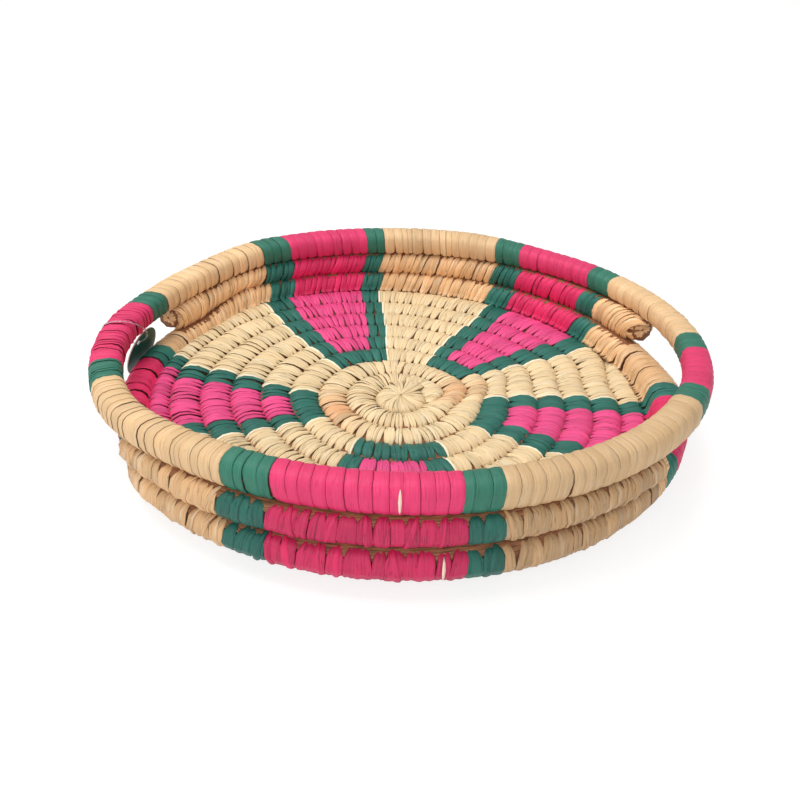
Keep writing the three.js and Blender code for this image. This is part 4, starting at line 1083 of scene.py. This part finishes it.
class TRAY_OT_wall_leaf(Operator):
    """Wrap wall rows 10 and 11, inside and outside"""
    bl_idname = "tray.wall_leaf"
    bl_label = "Wall leaf"

    def execute(self, context):
        sizes = context.scene.tray_sizes
        inside = {"row10": sizes.row10_inside_strip / MM, "row11": sizes.row11_inside_strip / MM}
        outside = sizes.outside_strip / MM
        pieces = {}
        for row in ("row10", "row11"):
            for node, slot_name, start, end in wall_runs(row):
                leaf, _, rng = pieces.setdefault(node, (Leaf(), slot_name, seeded(node)))
                dyed = slot_name != "leaf_natural_wall"
                for a, b, hole in split_at_holes(start, end):
                    if hole and row == "row10":
                        centres, halves = places(row, a, b, hole_pitch(slot_name, (a + b) / 2), rng)
                        # the close wraps under a hand hole are lightened as painted light against the rim's
                        # shade above them
                        leaf.add_strips(row, "row10_round", centres, halves, rng, kind="flat", shingle=0.26,
                                        light_and_tone=1.2 if dyed else 1.05, creased=0.3)
                        continue
                    centres, halves = places(row, a, b, inside[row], rng, 0.14)
                    # painted light and shade: the inside wraps lighter, the outside ones darker, the natural
                    # ones outside by direction
                    leaf.add_strips(row, row + "_in", centres, halves, rng, kind="plump", jitter=1.3,
                                    light_and_tone=WALL_PAINTED_LIGHT["in"], creased=0.4, spread=0.09)
                    lit = 1.0 if dyed else eased(NATURAL_OUT_PAINTED_LIGHT, wrapped((a + b) / 2))
                    add_outer_wraps(leaf, row, a, b, outside, rng, WALL_PAINTED_LIGHT["out"] * lit)
                if node == "wall_magenta_front" and row == "row10":
                    add_sliver(leaf, row, 278.3, 0.6, rng)
        for node, angle, away in (("left_rear", LEFT_OPENING[0], 1), ("left_front", LEFT_OPENING[1], -1),
                                  ("right_front", RIGHT_OPENING[0], 1), ("right_rear", RIGHT_OPENING[1], -1)):
            leaf, _, rng = pieces["wall_natural_" + node]
            add_stub(leaf, angle, away, rng)
            add_slant_pleats(leaf, angle, away, rng)
        for node, (leaf, slot_name, _) in pieces.items():
            dress(leaf, node, slot_name)
        return {"FINISHED"}


def rim_parts(node, start, end, pitch, fine):
    """Lengths of the rim with their own wraps, as two angles, a width in millimetres and a
    look: even wraps, fine wraps on the grips, and a smooth sheet behind the right grip."""
    # some looks carry a share under 1 that lessens the painted shade at the strips' edges
    even = {"shingle": 0.3, "creased": 0.12, "jitter": 0.5}
    smooth_sheet = {"shingle": 0.06, "creased": 0.0, "jitter": 0.4, "shade_lines": 0.82}
    close = {"shingle": 0.3, "creased": 0.25, "jitter": 1.1}
    if node == "rim_natural_right_rear":
        return [(start, RIM_SHEET_FROM, fine, close), (RIM_SHEET_FROM, end, pitch * 1.2, smooth_sheet)]
    if node in ("rim_magenta_left", "rim_green_left_ccw"):
        return [(start, end, fine * 0.85, {"shingle": 0.2, "creased": 0.2, "jitter": 1.3, "shade_lines": 0.92})]
    if node in ("rim_magenta_right", "rim_magenta_back_left", "rim_magenta_back_right",
                "rim_green_right_ccw"):
        return [(start, end, pitch, {**smooth_sheet, "shade_lines": 0.9, "shingle": 0.2})]
    if node == "rim_natural_left_front":
        return [(start, end, pitch * 0.88, even)]
    return [(start, end, pitch, even)]


class TRAY_OT_rim_leaf(Operator):
    """Wrap the rim and the two grips"""
    bl_idname = "tray.rim_leaf"
    bl_label = "Rim leaf"

    def execute(self, context):
        sizes = context.scene.tray_sizes
        for node, slot_name, start, end in wall_runs("rim"):
            leaf, rng = Leaf(), seeded(node)
            for a, b, pitch, look in rim_parts(node, start, end, sizes.rim_strip / MM, sizes.grip_strip / MM):
                grip = bool(in_hole((a + b) / 2)) and not node.startswith("rim_natural")
                centres, halves = places("rim", a, b, pitch, rng, 0.07)
                # painted light and shade round the rim's natural leaf, darker towards the front right
                light_and_tone = eased(RIM_PAINTED_LIGHT, wrapped(centres)) if node.startswith("rim_natural") else 0.95
                leaf.add_strips("rim", "grip_round" if grip else "rim_round", centres, halves, rng,
                                kind="flat", light_and_tone=light_and_tone, spread=0.04, **look)
            if node == "rim_magenta_front":
                add_sliver(leaf, "rim", 270.7, 0.45, rng)
            dress(leaf, node, slot_name)
        return {"FINISHED"}


def unit(v):
    """A vector, or each row of vectors, at length 1."""
    return v / np.linalg.norm(v, axis=-1, keepdims=True)


def tag_axes():
    """Side and up directions of the hanging tag."""
    normal = np.array([np.cos(TAG_LEAN) * np.cos(TAG_HEADING), np.cos(TAG_LEAN) * np.sin(TAG_HEADING),
                       -np.sin(TAG_LEAN)])
    up = unit(np.array([0, 0, 1.0]) + normal * np.sin(TAG_LEAN))
    return -np.cross(up, normal), up


class TRAY_OT_hang_tag(Operator):
    """Make the bare card disc of the hang tag"""
    bl_idname = "tray.hang_tag"
    bl_label = "Hang tag"

    def execute(self, context):
        sizes, c = context.scene.tray_sizes, context.scene.tray_colours
        side, up = tag_axes()
        radius, thick = sizes.tag_radius / MM, sizes.tag_thickness / MM
        circle = np.stack([np.cos(AROUND), np.sin(AROUND)], axis=-1)
        # profile from the hole's wall over the face, round the edge and back under
        share = np.array([0, 0.03, 0.35, 0.7, 0.985, 1, 1, 0.985, 0.7, 0.35, 0.03, 0])
        high = np.array([0.36, 0.5, 0.5, 0.5, 0.5, 0.36, -0.36, -0.5, -0.5, -0.5, -0.5, -0.36])
        pale = np.array([1, 1, 1, 1, 1, 1, 1, 0, 0, 0, 0, 1.0])
        inner = TAG_HOLE + TAG_HOLE_RADIUS * circle
        flat = inner[:, None, :] + (radius * circle - inner)[:, None, :] * share[None, :, None]
        bow = 0.25 * (flat[..., 0] / radius) ** 2
        points = (TAG_CENTRE + flat[..., :1] * side + flat[..., 1:] * up
                  + (high[None, :, None] * thick + bow[..., None]) * np.cross(side, up))
        sheet = np.zeros(points.shape)
        sheet[..., 2] = pale
        card = card_finish("tray_card", c.card[:], c.card_edge[:])
        disc = closed_surface(points[::-1], "tag_disc", card, {"leaf": sheet[::-1]})
        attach(disc, "tag")
        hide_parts("hang_tag")
        return {"FINISHED"}


class TRAY_OT_nylon(Operator):
    """Make the tag's nylon loop"""
    bl_idname = "tray.nylon"
    bl_label = "Nylon"

    def execute(self, context):
        sizes, c = context.scene.tray_sizes, context.scene.tray_colours
        points = loop_tube(sizes.loop_wire / MM)
        loop = closed_surface(points[:, ::-1], "nylon_loop", nylon_finish("tray_nylon", c.nylon[:]))
        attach(loop, "tag")
        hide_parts("tag_loop")
        return {"FINISHED"}


def loop_tube(wire, sides=12):
    """Tube of the nylon loop. Its middle line is an oval, middle + down × long × cos a
    + out × wide × sin a, from over the grip to the tag's hole."""
    tag_side, tag_up = tag_axes()
    hole = TAG_CENTRE + tag_up * TAG_HOLE[1] + tag_side * TAG_HOLE[0]
    grip = np.radians(LOOP_GRIP_ANGLE)
    reach, height, _ = (float(v) for v in rim_middle(LOOP_GRIP_ANGLE))
    centre = np.array([reach * np.cos(grip), reach * np.sin(grip), height])
    far = np.linalg.norm(hole - centre)
    down = (hole - centre) / far
    axis = np.array([-np.sin(grip), np.cos(grip), 0.0])
    out = unit(np.cross(down, axis))
    over = RIM_HALF / np.sqrt(1 - np.dot(down, axis) ** 2) + LOOP_CLEARANCE
    long, wide = (over + far) / 2, RIM_HALF + LOOP_CLEARANCE + LOOP_SPARE
    middle = centre + down * (far - long)
    a = AROUND[:, None]
    line = middle + down * long * np.cos(a) + out * wide * np.sin(a)
    tangent = unit(out * wide * np.cos(a) - down * long * np.sin(a))
    side = unit(np.cross(down, out))
    normal = np.cross(side, tangent)
    b = np.radians(np.arange(sides) * TURN / sides)[None, :, None]
    return line[:, None, :] + wire * (np.cos(b) * normal[:, None, :] + np.sin(b) * side)


# ---- stage, lights and camera, in metres, watts and millimetres of lens

STAGE_CELLS, STAGE_DROP = 8, 0.0004
LIGHTS = (  # name, place, aim, side and power
    ("overhead_light", (-0.45, 0.15, 1.5), (0, 0, 0), 1.1, 17.0),
    ("front_light", (-0.35, -1.5, 0.95), (0, 0, 0.03), 0.9, 10.0),
)
CAMERA_PLACE = np.array([-0.00075, -0.56689, 0.35339])
CAMERA_RIGHT, CAMERA_UP = np.array([0.99855, 0.02816, 0.04594]), np.array([-0.05389, 0.52192, 0.85129])
CAMERA_LENS, CAMERA_SENSOR, CAMERA_SHIFT = 49.71, 36.0, (0.001, 0.0061)


def stand(place, right, up):
    """World matrix of a thing at a place with the given right and up directions."""
    back, right = unit(np.cross(right, up)), unit(right)
    matrix = np.eye(4)
    matrix[:3] = np.stack([right, np.cross(back, right), back, place], axis=-1)
    return Matrix(matrix.tolist())


def looking(place, aim):
    """World matrix of a lamp at a place that looks at a point."""
    back = unit(place - aim)
    right = unit(np.cross(np.array([0.0, 1.0, 0.0] if abs(back[2]) > 0.9 else [0.0, 0.0, 1.0]), back))
    return stand(place, right, np.cross(back, right))


def stage_finish(colour):
    """Matte floor, which a camera, a reflection or clear nylon sees nearer to white."""
    f = new_finish("stage_floor")
    seen = f.node("LightPath").outputs
    rays = f.maths("MAXIMUM", seen["Is Camera Ray"], seen["Is Glossy Ray"])
    rays = f.maths("MAXIMUM", rays, seen["Is Transmission Ray"])
    matte = f.node("BsdfDiffuse", {"Color": (*colour, 1.0)}).outputs[0]
    white = f.node("Emission", {"Color": (1, 1, 1, 1), "Strength": 0.8}).outputs[0]
    dimmed = f.node("MixShader", {0: f.maths("MULTIPLY", rays, 0.7), 1: matte}).outputs[0]
    strip_light_and_tone = f.node("MixShader", {0: rays, 2: white}).outputs[0]
    return f.close(f.node("AddShader", {0: dimmed, 1: strip_light_and_tone}).outputs[0])


def stage_world():
    """Soft light from all round, which a camera or clear nylon sees as white."""
    f = Finish(bpy.data.worlds.new("stage_world"), "OutputWorld")
    seen = f.node("LightPath").outputs
    rays = f.maths("MAXIMUM", seen["Is Camera Ray"], seen["Is Transmission Ray"])
    soft = f.node("Background", {"Color": (1, 0.99, 0.97, 1), "Strength": 0.5}).outputs[0]
    plain = f.node("Background", {"Color": (1, 1, 1, 1)}).outputs[0]
    return f.close(f.node("MixShader", {0: rays, 1: soft, 2: plain}).outputs[0])


class TRAY_OT_stage(Operator):
    """Set the pale floor, the soft lights and the camera"""
    bl_idname = "tray.stage"
    bl_label = "Stage"

    def execute(self, context):
        sizes, c = context.scene.tray_sizes, context.scene.tray_colours
        context.scene.view_settings.view_transform = "Standard"
        n = STAGE_CELLS + 1
        u = np.linspace(-sizes.stage_size / 2, sizes.stage_size / 2, n)
        x, y = np.meshgrid(u, u)
        first = np.arange(STAGE_CELLS)[:, None] * n + np.arange(STAGE_CELLS)
        mesh = bpy.data.meshes.new("stage_floor")
        mesh.from_pydata(np.stack([x, y, np.full_like(x, -STAGE_DROP)], axis=-1).reshape(-1, 3), [],
                         first.reshape(-1, 1) + [0, 1, n + 1, n])
        mesh.materials.append(stage_finish(c.stage[:]))
        floor = add_to_scene("stage_floor", mesh)
        context.scene.world = stage_world()
        for name, place, aim, side, power in LIGHTS:
            lamp = bpy.data.lights.new(name, "AREA")
            lamp.shape, lamp.size, lamp.energy = "SQUARE", side, power
            add_to_scene(name, lamp).matrix_world = looking(np.array(place), np.array(aim))
        camera = bpy.data.cameras.new("camera")
        camera.lens, camera.sensor_width = CAMERA_LENS, CAMERA_SENSOR
        camera.shift_x, camera.shift_y = CAMERA_SHIFT
        camera.clip_start, camera.clip_end = 0.01, 50.0
        context.scene.camera = add_to_scene("camera", camera)
        context.scene.camera.matrix_world = stand(CAMERA_PLACE, CAMERA_RIGHT, CAMERA_UP)
        return {"FINISHED"}


PIECES = (
    TRAY_OT_straw_core, TRAY_OT_centre_leaf, TRAY_OT_floor_leaf, TRAY_OT_wall_leaf,
    TRAY_OT_rim_leaf, TRAY_OT_hang_tag, TRAY_OT_nylon, TRAY_OT_stage,
)


class TRAY_PT_panel(Panel):
    """Lists the pieces of the tray, its sizes and its colours"""
    bl_idname = "TRAY_PT_panel"
    bl_label = "Woven Tray"
    bl_space_type = "VIEW_3D"
    bl_region_type = "UI"
    bl_category = "Woven Tray"

    def draw(self, context):
        for piece in PIECES:
            self.layout.operator(piece.bl_idname)
        for group in (context.scene.tray_sizes, context.scene.tray_colours):
            box = self.layout.box()
            for key in group.__annotations__:
                box.prop(group, key)


CLASSES = (TraySizes, TrayColours, *PIECES, TRAY_PT_panel)


def register():
    """Registers the classes and hangs the two property groups on the scene."""
    for made in CLASSES:
        bpy.utils.register_class(made)
    bpy.types.Scene.tray_sizes = PointerProperty(type=TraySizes)
    bpy.types.Scene.tray_colours = PointerProperty(type=TrayColours)


def unregister():
    """Undoes register."""
    del bpy.types.Scene.tray_colours
    del bpy.types.Scene.tray_sizes
    for made in reversed(CLASSES):
        bpy.utils.unregister_class(made)


def main():
    """Makes every piece in order."""
    register()
    for piece in PIECES:
        group, name = piece.bl_idname.split(".")
        getattr(getattr(bpy.ops, group), name)()


if __name__ == "__main__":
    main()
